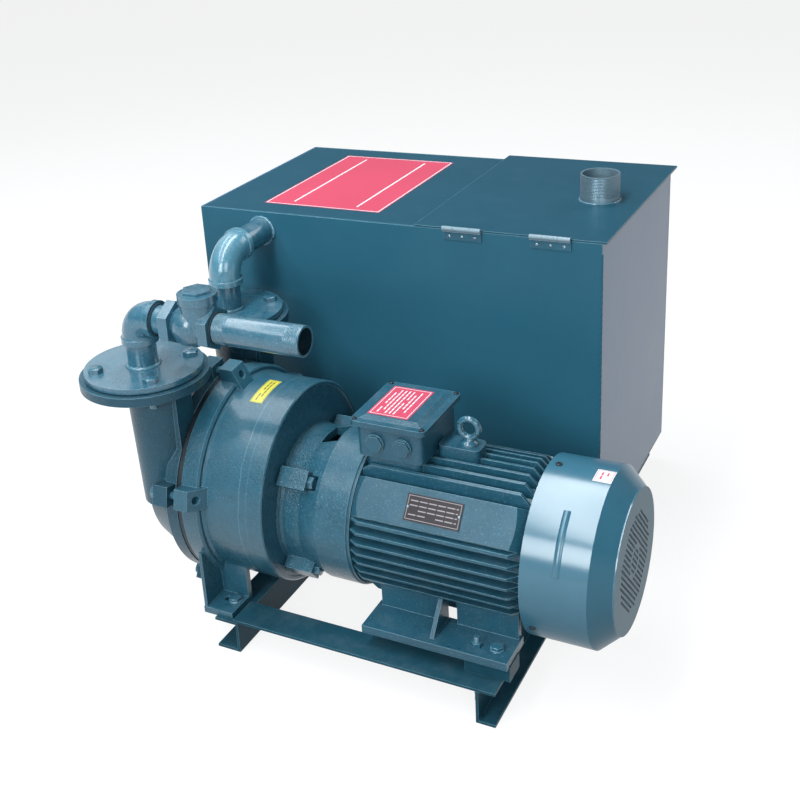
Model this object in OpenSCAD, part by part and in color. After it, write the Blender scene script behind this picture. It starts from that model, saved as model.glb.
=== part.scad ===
// Liquid ring vacuum pump set: pump, close-coupled motor, water tank and welded skid.
// Shop frame: X along the shaft to the fan, Y to the tank, Z up, with x = 0 on the port axes,
// y = 0 on the shaft and z = 0 under the skid. place() moves it to the middle of the footprint.

/* [Skid] */
// Height of the two cross members
skid_h = 50; // [42:1:70]
// Plate thickness of the skid members
skid_t = 4; // [3:0.5:6]
// Flange width of the left channel
channel_flange = 38; // [34:1:46]
// Bottom flange width of the right angle
angle_flange = 27; // [22:1:40]
// Width of the motor rails
rail_w = 48; // [44:1:60]
// Height of the spacers under the motor feet
spacer_h = 23; // [14:1:40]

/* [Tank] */
// Length of the tank along the shaft
tank_l = 668; // [620:1:800]
// Depth of the tank
tank_w = 388; // [320:1:460]
// Height of the tank above the skid
tank_h = 484; // [474:1:560]
// Tank sheet thickness
sheet_t = 3; // [2:0.5:4]
// Distance from the port axes to the left tank end
tank_left = 114; // [90:1:160]
// Distance from the shaft axis to the tank front
tank_gap = 226; // [215:1:260]
// Length of tank covered by the hinged lid
lid_l = 285; // [260:1:320]
// Lid overhang behind the tank
lid_over_back = 15; // [8:1:24]
// Lid overhang past the right tank end
lid_over_end = 6.5; // [3:0.5:12]
// Outside diameter of the vent pipe
vent_od = 60.3; // [42.4:0.1:76.1]
// Height of the vent pipe above the lid
vent_h = 41; // [25:1:80]
// Length of each hinge
hinge_l = 60; // [50:1:76]

/* [Pump] */
// Outside radius of the casing barrel
casing_r = 147.5; // [143:0.5:152]
// Inside radius of the casing
chamber_r = 130; // [126:0.5:134]
// Length of the casing from cover seam to motor side
casing_l = 125; // [115:1:140]
// Height of the casing axis above the shaft axis
eccentricity = 19.5; // [15:0.5:22]
// Gap between impeller and casing at the closest point
tip_gap = 1; // [0.5:0.1:2]
// Number of impeller blades
blades = 18; // [12:1:24]
// Depth of the end cover
cover_l = 80; // [70:1:90]
// Distance of each port axis from the shaft axis
port_y = 110; // [104:1:112]
// Radius of the cast port flanges
port_flange_r = 92; // [86:1:96]
// Height of the port flange face above the skid bottom
port_z = 404; // [392:1:412]
// Length of the lantern bracket
lantern_l = 110; // [104:1:126]

/* [Piping] */
// Outside diameter of the suction and discharge pipes
pipe_od = 42.4; // [38:0.1:45]
// Pipe wall thickness
pipe_t = 3.25; // [2.5:0.05:4]
// Radius of the bolted flange plates
plate_r = 84; // [80:1:88]
// Thickness of the bolted flange plates
plate_t = 8; // [6:0.5:12]
// Flange bolt circle radius
bolt_circle_r = 67; // [62:1:70]
// Height of the suction line axis above the flange plates
suction_rise = 72; // [70:1:90]
// Length of the inlet pipe
inlet_l = 132; // [90:1:200]

/* [Motor] */
// Height of the shaft axis above the motor feet
motor_h = 112; // [108:1:120]
// Length of the motor frame
frame_l = 252; // [236:1:284]
// Radius over the cooling fins
fin_r = 114; // [110:0.5:117]
// Distance between cooling fins
fin_pitch = 15.5; // [14:0.25:17]
// Fin thickness
fin_t = 3.5; // [2.5:0.25:5]
// Outside radius of the fan cowl
cowl_r = 121.5; // [119:0.5:128]
// Length of the fan cowl
cowl_l = 114; // [104:1:130]
// Cowl sheet thickness
cowl_t = 1.6; // [1.2:0.1:2.5]
// Distance between rows of grille holes
grille_row = 4.75; // [4.5:0.25:7]
// Radius of the grille holes
grille_hole_r = 2.1; // [1.8:0.1:2.8]
// Terminal box length along the shaft
box_l = 97; // [88:1:104]
// Terminal box width across the shaft
box_w = 114; // [100:1:124]
// Terminal box height
box_h = 46; // [40:1:60]
// Radius of the eyebolt ring
eye_r = 13.7; // [12:0.1:18]

/* [Hidden] */
$fn = 96;
cut = 1;
hex_sides = 6;
hex_k = 1 / sqrt(3);
paint = [0.16, 0.36, 0.42];
steel = [0.62, 0.64, 0.66];
dark = [0.08, 0.09, 0.10];
copper = [0.62, 0.34, 0.16];
gap = 0.3;
run_fit = 0.05;
turned_in = 0.6;

// Stations along the shaft
seam_x = 70;
gasket_t = 1;
port_plate_t = 6;
cover_x1 = seam_x - 2 * gasket_t - port_plate_t;
cover_x0 = cover_x1 - cover_l;
casing_x1 = seam_x + casing_l;
lantern_x1 = casing_x1 + lantern_l;
frame_x1 = lantern_x1 + frame_l;
cowl_lap = 3;
cowl_x0 = frame_x1 - cowl_lap;
cowl_x1 = cowl_x0 + cowl_l;
cowl_cone = 27;
cowl_end_r = cowl_r - 24;

// Heights
rail_top = skid_h + skid_t;
foot_z = rail_top + spacer_h;
foot_t = 11.5;
shaft_z = foot_z + motor_h;
casing_z = shaft_z + eccentricity;

// Skid layout
left_web_x = seam_x + 75;
channel_x0 = left_web_x - channel_flange;
right_web_x = frame_x1 - 49;
rail_x0 = left_web_x - 7;
rail_x1 = right_web_x + angle_flange;
rail_y0 = 160;
rail_y1 = rail_y0 - rail_w;
rail_leg = 34;
skid_y0 = -rail_y0;
bolt_r = 5;
bolt_af = 16;
head_k = 1.28;
nut_k = 1.6;
tail_k = 1;
nut_h = nut_k * bolt_r;
bolt_clear = 0.5;

// Tank layout
tank_x0 = -tank_left;
tank_x1 = tank_x0 + tank_l;
tank_y0 = tank_gap;
tank_y1 = tank_y0 + tank_w;
tank_z0 = skid_h;
tank_z1 = tank_z0 + tank_h;
skid_y1 = tank_y1 - 2;
lid_x0 = tank_x1 - lid_l;
lid_x1 = tank_x1 + lid_over_end;
lid_ledge = 16;
lid_z1 = tank_z1 + sheet_t;
baffle_x = lid_x0 - 20;
baffle_h = 0.8 * tank_h;
baffle_hole_r = 22;
vent_x = tank_x1 - 61;
vent_y = tank_y0 + tank_w / 2;
vent_t = 3.6;
vent_stub = 6;
vent_r = vent_od / 2;
vent_seat_r = vent_r - turned_in;
hinge_x = [lid_x0 + 47, tank_x1 - 104];
hinge_r = 3.6;
hinge_pin_r = 1.75;
hinge_y = tank_y0 - hinge_r - 0.4;
hinge_z = lid_z1;
hinge_t = 2;
leaf_h = 14;
leaf_z1 = tank_z1 - 0.5;
knuckle_l = 0.3 * hinge_l;
tongue_l = 34;
tongue_z0 = tank_z1 - hinge_t;
screw_r = 1.5;
screw_head_r = 2.4;

// Pump details
flange_r = casing_r + 10;
seam_in = 1;
cover_flange_t = 22;
casing_flange_t = 28;
cover_wall = 10;
cover_dish_r = casing_r - 22;
casing_wall = 12;
rim_w = 6;
rim_d = 2.5;
lugs = 5;
lug_a0 = 12;
lug_w = 30;
lug_r0 = chamber_r + 6;
lug_r1 = flange_r + 20;
lug_bolt_r = 6;
lug_bolt_af = 18;
lug_bolt_circle = flange_r + 7;
lug_l = 24;
lug_bolt_in = 14;
cover_lug_l = 26;
lug_slope = 14;
ear_back = 2;
spot_r = lug_bolt_af * hex_k + 1.5;
pad_t = 10;
pad_l = 48;
pad_x0 = channel_x0 - 21;
pad_y0 = 100;
pad_y1 = 155;
pump_bolt_x = channel_x0 + 14;
pump_bolt_y = 125;
slot_l = 12;
impeller_r = chamber_r - eccentricity - tip_gap;
impeller_x0 = seam_x + 1;
impeller_x1 = casing_x1 - casing_wall - 2;
impeller_disc_t = 7;
hub_r = 32;
blade_t = 5;
blade_curve = 85;
neck_x = 18;
neck_r0 = 38;
neck_r1 = 43.5;
port_bore_r = 24;
port_flange_t = 13;
stub_r = 17;
shaft_r = 20;
seal_r0 = 24;
seal_r1 = 32;

// Lantern details
lantern_r = 105;
lantern_ring_r = 112;
lantern_wall_r = 103;
lantern_t = 12;
lantern_foot_t = 2;
foot_fillet = 4;
cone_x0 = casing_x1 + 31;
ring_x0 = cone_x0 + 31;
seam_bevel = 1;
window_in = 2;
window_x0 = cone_x0 + window_in;
window_x1 = ring_x0 - window_in;
window_w = 50;
lantern_lugs = [40, 140, 220, 320];
lantern_lug_r = 109;
lantern_lug_h = 11;
lantern_lug_l = 44;
lantern_lug_w = 28;
head_room = 4;
head_room_r = bolt_af * hex_k + 1.5;
lantern_bolt_deep = 9;

// Piping details
pipe_r = pipe_od / 2;
pipe_bore_r = pipe_r - pipe_t;
nipple_r = pipe_r - turned_in;
flange_gasket_t = 2;
flange_bolt_r = 6;
flange_bolt_af = 19;
plate_z1 = port_z + flange_gasket_t + plate_t;
suction_z = plate_z1 + suction_rise;
discharge_z = tank_z1 - 31;
elbow_wall = 3;
elbow_bead = 2.4;
elbow_bead_l = 8;
suction_cte = 36;
discharge_cte = 48;
valve_x0 = suction_cte + 19;
valve_hex_l = 15;
socket_in = 9;
valve_l = 78;
valve_x1 = valve_x0 + valve_l;
valve_hex_af = pipe_od + 12;
valve_ball_r = 31;
valve_chamber_r = 26.5;
valve_mid = valve_x0 + valve_l / 2;
bonnet_x = valve_mid + 12;
neck_top = suction_z + 36;
valve_neck_r = 25;
valve_neck_bore = 20.5;
bonnet_r = 27.3;
bonnet_h = 12;
bonnet_hex_af = 36;
bonnet_hex_h = 5;
seat_x = valve_mid + 19;
seat_r = 15.5;
flap_r = 18.5;
flap_t = 4;
flap_pin_r = 2;
flap_pin_x = seat_x - 5;
flap_pin_z = suction_z + 22;
flap_eye_r = 4.5;
flap_arm_w = 9;
flap_pin_l = 46;
seal_ring_t = 2.5;
seal_ring_h = 2;
inlet_x0 = valve_x1 + seal_ring_t;
inlet_x1 = inlet_x0 + inlet_l;
discharge_stub = 30;
water_x = seam_x + casing_flange_t + 42;
water_z = casing_z - 58;
water_r = 13.45;
water_hex_af = 36;
water_hex_l = 18;

// Motor details
frame_r = 96;
bore_r = 84;
frame_rim_r = lantern_ring_r - 2;
frame_rim_t = 4;
fin_x0 = lantern_x1 + frame_rim_t - 1;
fin_rim_r = frame_rim_r - 4;
fin_rise = 13;
fin_x1 = frame_x1 - 1;
fin_rows = 4;
fin_end_r = frame_r - 3;
fin_taper = 21;
panel_a = 38;
panel_half = 27.5;
panel_d = sqrt(fin_r * fin_r - panel_half * panel_half);
box_x0 = lantern_x1 - 2;
box_x1 = box_x0 + box_l;
box_z0 = shaft_z + fin_r;
box_z1 = box_z0 + box_h;
box_t = 5;
box_round = 9;
box_seat_in = 8;
lid_over = 7;
box_lid_t = 8;
box_lid_rise = 4;
lid_bevel = 3;
box_hole_r = 15;
plug_r = 13.5;
plug_af = 22;
plug_span = 40;
plug_rim = 3;
plug_head = 7;
plug_z = box_z0 + box_h / 2;
boss_x0 = box_x1 + 3;
boss_x1 = boss_x0 + 60;
boss_w = 34;
boss_z = shaft_z + fin_r + 13;
eye_x = boss_x1 - 20;
eye_t = 4.2;
eye_collar_r = 9;
eye_collar_h = 8;
eye_shank_r = 4;
eye_shank = 16;
eye_z = boss_z + eye_collar_h + eye_r + eye_t - 2;
plate_l = 79;
plate_h = 36;
nameplate_t = 1.2;
nameplate_in = 82;
nameplate_x = lantern_x1 + nameplate_in;
foot_in = 31;
foot_x0 = lantern_x1 + foot_in;
foot_x1 = frame_x1 - 13;
foot_y0 = 86;
foot_y1 = 139;
skirt_t = 9;
skirt_gap_x0 = foot_x0 + 102;
skirt_gap = 16;
foot_rib = 6;
spacer_x0 = right_web_x - 26;
spacer_x1 = spacer_x0 + 63;
spacer_y0 = 96;
spacer_y1 = 131;
motor_bolt_x = right_web_x + 14;
motor_bolt_y = 115;
jack_x = right_web_x - 13;
jack_y = 118;
jack_r = 4;
jack_af = 13;
jack_up = 14;
core_in = 45;
core_l = 140;
core_x0 = lantern_x1 + core_in;
core_x1 = core_x0 + core_l;
stator_r = 55;
air_gap = 0.4;
rotor_seat_r = 26;
winding_r = 11;
winding_mid = 69;
winding_reach = 14;
cage_ring_l = 10;
bearing_b = 18;
bearing_r = 40;
bearing_x0 = lantern_x1 - bearing_b;
fan_bearing_b = 16;
fan_bearing_r = 31;
fan_bearing_in = 15;
fan_bearing_x0 = frame_x1 + 2;
shield_t = 12;
shield_hub_r = 42;
shield_lug = 14;
screw_a = [90, -30, 210];
cowl_screw_x = cowl_x0 + 13;
cowl_screw_r = 2.5;
cowl_screw_head = 4.5;
screw_head_h = 2.5;
lid_screw_r = 3.4;
fan_x0 = fan_bearing_x0 + fan_bearing_b + 6;
fan_hub_l = 36;
fan_hub_r = 22;
fan_seat_r = 14;
fan_r = 102;
fan_disc_t = 3;
fan_blades = 8;
fan_blade_l = 34;
fan_blade_t = 3;
rib_x = cowl_x0 + 47;
rib_r = 8;
rib_rise = 1.6;
rib_a0 = -25;
rib_span = 40;
grille_r = 67;
grille_ring = 4.15;
grille_ring_half = 0.8;
balls = 9;

// Middle of the footprint
x_mid = (tank_x0 + cowl_x1) / 2;
y_mid = (tank_y1 + lid_over_back - port_y - port_flange_r) / 2;

// Node to build, or all of them

// Moves the shop frame to the middle of the footprint
module place() {
    translate([-x_mid, -y_mid, 0]) children();
}

// Block between two corners
module block(x0, x1, y0, y1, z0, z1) {
    translate([x0, y0, z0]) cube([x1 - x0, y1 - y0, z1 - z0]);
}

// Rods along the three axes
module rod_x(x0, x1, y, z, r) {
    translate([x0, y, z]) rotate([0, 90, 0]) cylinder(r = r, h = x1 - x0);
}

module rod_y(x, y0, y1, z, r) {
    translate([x, y0, z]) rotate([-90, 0, 0]) cylinder(r = r, h = y1 - y0);
}

module rod_z(x, y, z0, z1, r) {
    translate([x, y, z0]) cylinder(r = r, h = z1 - z0);
}

// Hexagons along the three axes, given across flats
module hex_x(x0, x1, y, z, af) {
    translate([x0, y, z]) rotate([0, 90, 0]) cylinder(r = af * hex_k, h = x1 - x0, $fn = hex_sides);
}

module hex_y(x, y0, y1, z, af) {
    translate([x, y0, z]) rotate([-90, 0, 0]) cylinder(r = af * hex_k, h = y1 - y0, $fn = hex_sides);
}

module hex_z(x, y, z0, z1, af) {
    translate([x, y, z0]) cylinder(r = af * hex_k, h = z1 - z0, $fn = hex_sides);
}

// Turned body about an X axis from [radius, station] points
module turned(z, profile) {
    translate([0, 0, z]) rotate([0, 90, 0]) rotate_extrude() polygon(profile);
}

// Turns children about an X axis, with angle 0 at the front and 90 on top
module around(z, a) {
    translate([0, 0, z]) rotate([-a, 0, 0]) children();
}

// Both sides of the shaft plane
module both_sides() {
    children();
    mirror([0, 1, 0]) children();
}

// Rectangle with round corners
module round_rect(x0, x1, y0, y1, r) {
    translate([x0 + r, y0]) square([x1 - x0 - 2 * r, y1 - y0]);
    translate([x0, y0 + r]) square([x1 - x0, y1 - y0 - 2 * r]);
    for (x = [x0 + r, x1 - r], y = [y0 + r, y1 - r]) translate([x, y]) circle(r = r);
}

// Hex bolt with its nut, pointing down
module bolt_down(x, y, z_seat, z_nut, r, af) {
    hex_z(x, y, z_seat, z_seat + head_k * r, af);
    rod_z(x, y, z_nut - (nut_k + tail_k) * r, z_seat, r);
    hex_z(x, y, z_nut - nut_k * r, z_nut, af);
}

// Skid
module left_channel() {
    color(paint) place() difference() {
        block(channel_x0, left_web_x, skid_y0, skid_y1, 0, skid_h);
        block(channel_x0 - cut, left_web_x - skid_t, skid_y0 - cut, skid_y1 + cut, skid_t, skid_h - skid_t);
        both_sides()
            rod_z(pump_bolt_x, pump_bolt_y, skid_h - skid_t - cut, skid_h + cut, bolt_r + bolt_clear);
    }
}

module right_angle() {
    color(paint) place() {
        block(right_web_x, right_web_x + skid_t, skid_y0, skid_y1, 0, skid_h);
        block(right_web_x, right_web_x + angle_flange, skid_y0, skid_y1, 0, skid_t);
    }
}

module motor_holes() {
    rod_z(motor_bolt_x, -motor_bolt_y, skid_h - cut, foot_z + foot_t + cut, bolt_r + bolt_clear);
}

module front_rail() {
    color(paint) place() difference() {
        union() {
            block(rail_x0, rail_x1, -rail_y0, -rail_y1, skid_h, rail_top);
            block(left_web_x, right_web_x, -rail_y1 - skid_t, -rail_y1, skid_h - rail_leg, rail_top);
        }
        motor_holes();
    }
}

module rear_rail() {
    color(paint) place() {
        block(left_web_x, right_web_x, skid_y1 - rail_w, skid_y1, skid_h - skid_t, skid_h);
        block(left_web_x, right_web_x, skid_y1 - skid_t, skid_y1, skid_h - rail_leg, skid_h);
    }
}

module rear_pad() {
    color(paint) place() mirror([0, 1, 0]) difference() {
        block(jack_x - rail_leg, rail_x1, -rail_y0, -rail_y1 + skid_t, skid_h, rail_top);
        motor_holes();
    }
}

module foot_spacers() {
    color(paint) place() both_sides() difference() {
        block(spacer_x0, spacer_x1, -spacer_y1, -spacer_y0, rail_top, foot_z);
        motor_holes();
    }
}

module foot_bolts() {
    color(steel) place() both_sides() {
        bolt_down(motor_bolt_x, -motor_bolt_y, foot_z + foot_t, skid_h, bolt_r, bolt_af);
        bolt_down(pump_bolt_x, -pump_bolt_y, skid_h + pad_t, skid_h - skid_t, bolt_r, bolt_af);
    }
}

module jack_screws() {
    color(steel) place() both_sides() {
        rod_z(jack_x, -jack_y, foot_z, foot_z + foot_t + jack_up, jack_r);
        hex_z(jack_x, -jack_y, foot_z + foot_t, foot_z + foot_t + nut_k * jack_r, jack_af);
    }
}

// Tank
module hinge_screw_holes(r, y0, y1) {
    for (h = hinge_x, k = [1 / 6, 1 / 2, 5 / 6])
        rod_y(h + k * hinge_l, y0, y1, leaf_z1 - leaf_h * 0.6, r);
}

module tank_front() {
    color(paint) place() difference() {
        block(tank_x0, tank_x1, tank_y0, tank_y0 + sheet_t, tank_z0 + sheet_t, tank_z1);
        rod_y(0, tank_y0 - cut, tank_y0 + sheet_t + cut, discharge_z, pipe_r);
        rod_y(water_x, tank_y0 - cut, tank_y0 + sheet_t + cut, water_z, water_r);
        for (h = hinge_x)
            block(h + knuckle_l, h + hinge_l - knuckle_l, tank_y0 - cut, tank_y0 + sheet_t + cut,
                tongue_z0 - 0.5, tank_z1 + cut);
        hinge_screw_holes(screw_r, tank_y0 - cut, tank_y0 + sheet_t + cut);
    }
}

module tank_back() {
    color(paint) place() block(tank_x0, tank_x1, tank_y1 - sheet_t, tank_y1, tank_z0 + sheet_t, tank_z1);
}

module tank_end(x) {
    block(x, x + sheet_t, tank_y0 + sheet_t, tank_y1 - sheet_t, tank_z0 + sheet_t, tank_z1);
}

module tank_ends() {
    color(paint) place() {
        tank_end(tank_x0);
        tank_end(tank_x1 - sheet_t);
    }
}

module tank_bottom() {
    color(paint) place() block(tank_x0, tank_x1, tank_y0, tank_y1, tank_z0, tank_z0 + sheet_t);
}

module tank_top() {
    color(paint) place()
        block(tank_x0 + sheet_t, lid_x0 + lid_ledge, tank_y0 + sheet_t, tank_y1 - sheet_t,
            tank_z1 - sheet_t, tank_z1);
}

module tank_baffle() {
    color(paint) place() difference() {
        block(baffle_x, baffle_x + sheet_t, tank_y0 + sheet_t, tank_y1 - sheet_t,
            tank_z0 + sheet_t, tank_z0 + baffle_h);
        for (k = [1 / 4, 1 / 2, 3 / 4])
            rod_x(baffle_x - cut, baffle_x + sheet_t + cut, tank_y0 + k * tank_w,
                tank_z0 + 3 * baffle_hole_r, baffle_hole_r);
    }
}

module knuckle(x0, x1, pin_r) {
    difference() {
        union() {
            rod_x(x0, x1, hinge_y, hinge_z, hinge_r);
            block(x0, x1, hinge_y - hinge_t / 2, tank_y0 - 0.4, tongue_z0, hinge_z - hinge_t);
            block(x0, x1, hinge_y - hinge_t / 2, hinge_y + hinge_t / 2, tongue_z0, hinge_z);
        }
        rod_x(x0 - cut, x1 + cut, hinge_y, hinge_z, pin_r);
    }
}

// Fixed leaves with the hinge pins staked into them
module hinge_leaves() {
    color(steel) place() {
        difference() {
            for (h = hinge_x) {
                block(h, h + hinge_l, tank_y0 - hinge_t, tank_y0, leaf_z1 - leaf_h, tongue_z0 - 0.5);
                for (x = [h, h + hinge_l - knuckle_l]) {
                    block(x, x + knuckle_l, tank_y0 - hinge_t, tank_y0, leaf_z1 - leaf_h, leaf_z1);
                    knuckle(x, x + knuckle_l, hinge_pin_r);
                }
            }
            hinge_screw_holes(screw_r, tank_y0 - hinge_t - cut, tank_y0 + cut);
        }
        for (h = hinge_x) rod_x(h, h + hinge_l, hinge_y, hinge_z, hinge_pin_r);
    }
}

module hinge_screws() {
    color(steel) place() {
        hinge_screw_holes(screw_r, tank_y0 - hinge_t, tank_y0 + 2 * sheet_t);
        hinge_screw_holes(screw_head_r, tank_y0 - hinge_t - 1, tank_y0 - hinge_t);
    }
}

// Hinged lid
module lid() {
    color(paint) place() difference() {
        block(lid_x0, lid_x1, tank_y0, tank_y1 + lid_over_back, tank_z1, lid_z1);
        rod_z(vent_x, vent_y, tank_z1 - cut, lid_z1 + cut, vent_seat_r);
    }
}

// Vent pipe, turned down where it passes through the lid
module vent_pipe() {
    color(steel) place() difference() {
        union() {
            rod_z(vent_x, vent_y, tank_z1 - vent_stub, lid_z1 + vent_stub, vent_seat_r);
            rod_z(vent_x, vent_y, lid_z1, lid_z1 + vent_h, vent_r);
        }
        rod_z(vent_x, vent_y, tank_z1 - vent_stub - cut, lid_z1 + vent_h + cut, vent_r - vent_t);
    }
}

module lid_leaves() {
    color(steel) place() for (h = hinge_x) {
        knuckle(h + knuckle_l + gap, h + hinge_l - knuckle_l - gap, hinge_pin_r + run_fit);
        block(h + knuckle_l + gap, h + hinge_l - knuckle_l - gap, hinge_y + hinge_t / 2,
            tank_y0 + tongue_l, tongue_z0, tank_z1);
    }
}

// Pump
module lug_bolt_holes(x0, x1, r) {
    for (i = [0 : lugs - 1]) around(casing_z, lug_a0 + i * 360 / lugs)
        rod_x(x0, x1, -lug_bolt_circle, 0, r);
}

// Ears for the cover bolts, with a sloping back of the given depth
module ears(x_seam, x_tip, slope) {
    for (i = [0 : lugs - 1]) around(casing_z, lug_a0 + i * 360 / lugs)
        translate([0, 0, -lug_w / 2]) linear_extrude(lug_w)
            polygon([[x_seam, -lug_r0], [x_tip + slope, -lug_r0], [x_tip + slope, -casing_r],
                [x_tip, -lug_r1], [x_seam, -lug_r1]]);
}

// Cast neck below one port flange
module neck() {
    translate([neck_x, -port_y, casing_z])
        cylinder(r1 = neck_r0, r2 = neck_r1, h = port_z - port_flange_t - casing_z);
    rod_z(0, -port_y, port_z - port_flange_t, port_z, port_flange_r);
    // Web that carries the flange back to the cover rim
    block(neck_x, cover_x1, -port_y - neck_r0 / 2, -port_y + neck_r0 / 2, casing_z, port_z - port_flange_t);
}

// Slanted bore from the flange face to the chamber
module neck_bore() {
    reach = port_z - casing_z;
    slant = atan(2 * neck_x / reach);
    translate([0, -port_y, port_z + cut]) rotate([0, 180 - slant, 0])
        cylinder(r = port_bore_r, h = reach / cos(slant) - neck_r0);
}

module flange_holes(z0, z1, r) {
    for (q = [45 : 90 : 315])
        rod_z(bolt_circle_r * cos(q), -port_y + bolt_circle_r * sin(q), z0, z1, r);
}

module end_cover() {
    color(paint) place() difference() {
        union() {
            turned(casing_z, [[0, cover_x0], [cover_dish_r - 12, cover_x0], [cover_dish_r, cover_x0 + 8],
                [casing_r - 3, cover_x1 - cover_flange_t - 6], [flange_r - 4, cover_x1 - cover_flange_t],
                [flange_r, cover_x1 - cover_flange_t + 4], [flange_r, cover_x1], [0, cover_x1]]);
            ears(cover_x1 - ear_back, cover_x1 - cover_lug_l, 0);
            both_sides() neck();
        }
        // Suction and discharge chambers on either side of a middle wall
        difference() {
            turned(casing_z, [[0, cover_x0 + cover_wall], [cover_dish_r - 24, cover_x0 + cover_wall],
                [chamber_r - 6, cover_x1 - cover_flange_t], [chamber_r - 6, cover_x1 + cut],
                [0, cover_x1 + cut]]);
            block(cover_x0, cover_x1 + 2 * cut, -cover_wall / 2, cover_wall / 2, 0, port_z);
        }
        both_sides() {
            neck_bore();
            flange_holes(port_z - port_flange_t - cut, port_z + cut, flange_bolt_r + bolt_clear);
        }
        lug_bolt_holes(cover_x1 - cover_lug_l - cut, cover_x1 + cut, lug_bolt_r + bolt_clear);
        // Spot faces for the bolt heads
        lug_bolt_holes(cover_x1 - cover_lug_l - 2 * nut_h, cover_x1 - cover_lug_l, spot_r);
    }
}

// Plate with the crescent suction and discharge ports
module port_plate() {
    color(steel) place() translate([seam_x - gasket_t - port_plate_t, 0, casing_z]) rotate([90, 0, 90])
        linear_extrude(port_plate_t) difference() {
            circle(r = flange_r - seam_in);
            for (s = [-1, 1]) intersection() {
                translate([0, -eccentricity]) difference() {
                    circle(r = 0.72 * impeller_r);
                    circle(r = 0.4 * impeller_r);
                }
                translate([s > 0 ? 12 : -12 - impeller_r, -impeller_r / 2]) square([impeller_r, impeller_r]);
            }
        }
}

module cover_gaskets() {
    color(dark) place() for (x = [cover_x1, seam_x - gasket_t])
        difference() {
            rod_x(x, x + gasket_t, 0, casing_z, flange_r - 2 * seam_in);
            rod_x(x - cut, x + gasket_t + cut, 0, casing_z, chamber_r);
        }
}

// One pump foot: front leg with a side plate, a back wall and a slotted pad
module pump_foot() {
    difference() {
        union() {
            block(pad_x0, pad_x0 + pad_l, -pad_y1, -pad_y0, skid_h, skid_h + pad_t);
            block(pad_x0, pad_x0 + pad_t / 2, -pad_y1 + 2, -pad_y0, skid_h, casing_z - 60);
            block(pad_x0, pad_x0 + pad_l, -pad_y0 - pad_t, -pad_y0, skid_h, casing_z - 80);
        }
        rod_x(pad_x0 - cut, pad_x0 + pad_l + cut, 0, casing_z, chamber_r + 2);
        for (x = [pump_bolt_x - slot_l, pump_bolt_x])
            rod_z(x, -pump_bolt_y, skid_h - cut, skid_h + pad_t + cut, bolt_r + bolt_clear);
        block(pump_bolt_x - slot_l, pump_bolt_x, -pump_bolt_y - bolt_r - bolt_clear,
            -pump_bolt_y + bolt_r + bolt_clear, skid_h - cut, skid_h + pad_t + cut);
    }
}

module lantern_bolt_rods(x0, x1, r) {
    for (a = lantern_lugs) around(shaft_z, a) rod_x(x0, x1, -lantern_lug_r, 0, r);
}

module pump_casing() {
    color(paint) place() difference() {
        union() {
            turned(casing_z, [[0, seam_x], [flange_r, seam_x], [flange_r, seam_x + casing_flange_t - 3],
                [flange_r - 3, seam_x + casing_flange_t], [casing_r + 2, seam_x + casing_flange_t],
                [casing_r, seam_x + casing_flange_t + 4], [casing_r, casing_x1 - 2],
                [casing_r - 2, casing_x1], [casing_r - rim_w, casing_x1],
                [casing_r - rim_w, casing_x1 - rim_d],
                [lantern_r + eccentricity + 4, casing_x1 - rim_d], [0, casing_x1 - rim_d]]);
            rod_x(casing_x1 - casing_wall, casing_x1, 0, shaft_z, lantern_r);
            ears(seam_x + ear_back, seam_x + lug_l, lug_slope);
            both_sides() pump_foot();
        }
        rod_x(seam_x - cut, casing_x1 - casing_wall, 0, casing_z, chamber_r);
        rod_x(casing_x1 - casing_wall - cut, casing_x1 + cut, 0, shaft_z, seal_r0);
        rod_x(casing_x1 - casing_wall + 4, casing_x1 + cut, 0, shaft_z, seal_r1);
        lug_bolt_holes(seam_x - cut, seam_x + 2 * lug_l, lug_bolt_r);
        lantern_bolt_rods(casing_x1 - lantern_bolt_deep, casing_x1 + cut, bolt_r);
        rod_y(water_x, 0, casing_r + rail_w, water_z, water_r);
    }
}

module cover_bolts() {
    color(steel) place() {
        lug_bolt_holes(cover_x1 - cover_lug_l, seam_x + lug_bolt_in, lug_bolt_r);
        for (i = [0 : lugs - 1]) around(casing_z, lug_a0 + i * 360 / lugs)
            hex_x(cover_x1 - cover_lug_l - nut_h, cover_x1 - cover_lug_l, -lug_bolt_circle, 0, lug_bolt_af);
    }
}

// Open impeller: hub, back disc and forward-curved blades
module impeller() {
    color(steel) place() translate([0, 0, shaft_z]) rotate([90, 0, 90]) difference() {
        union() {
            translate([0, 0, impeller_x0]) linear_extrude(impeller_x1 - impeller_x0) {
                circle(r = hub_r);
                for (i = [0 : blades - 1]) rotate(i * 360 / blades) intersection() {
                    circle(r = impeller_r);
                    translate([hub_r - blade_t, -blade_t]) square([impeller_r, blade_curve + blade_t]);
                    translate([hub_r - blade_t, blade_curve]) difference() {
                        circle(r = blade_curve + blade_t / 2);
                        circle(r = blade_curve - blade_t / 2);
                    }
                }
            }
            translate([0, 0, impeller_x1 - impeller_disc_t])
                cylinder(r = impeller_r - 2, h = impeller_disc_t);
        }
        translate([0, 0, impeller_x0 + impeller_disc_t]) cylinder(r = stub_r, h = impeller_x1);
    }
}

module seal_seat() {
    color(dark) place() turned(shaft_z, [[shaft_r + 1, casing_x1 - casing_wall + 4], [seal_r1, casing_x1
        - casing_wall + 4], [seal_r1, casing_x1 + 1], [shaft_r + 1, casing_x1 + 1]]);
}

module seal_head() {
    x0 = casing_x1 + 1 + gap;
    color(steel) place() turned(shaft_z, [[shaft_r, x0], [seal_r1 - 4, x0], [seal_r1 - 4, x0 + 8],
        [seal_r1 - 1, x0 + 8], [seal_r1 - 1, x0 + 24], [shaft_r, x0 + 24]]);
}

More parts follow.
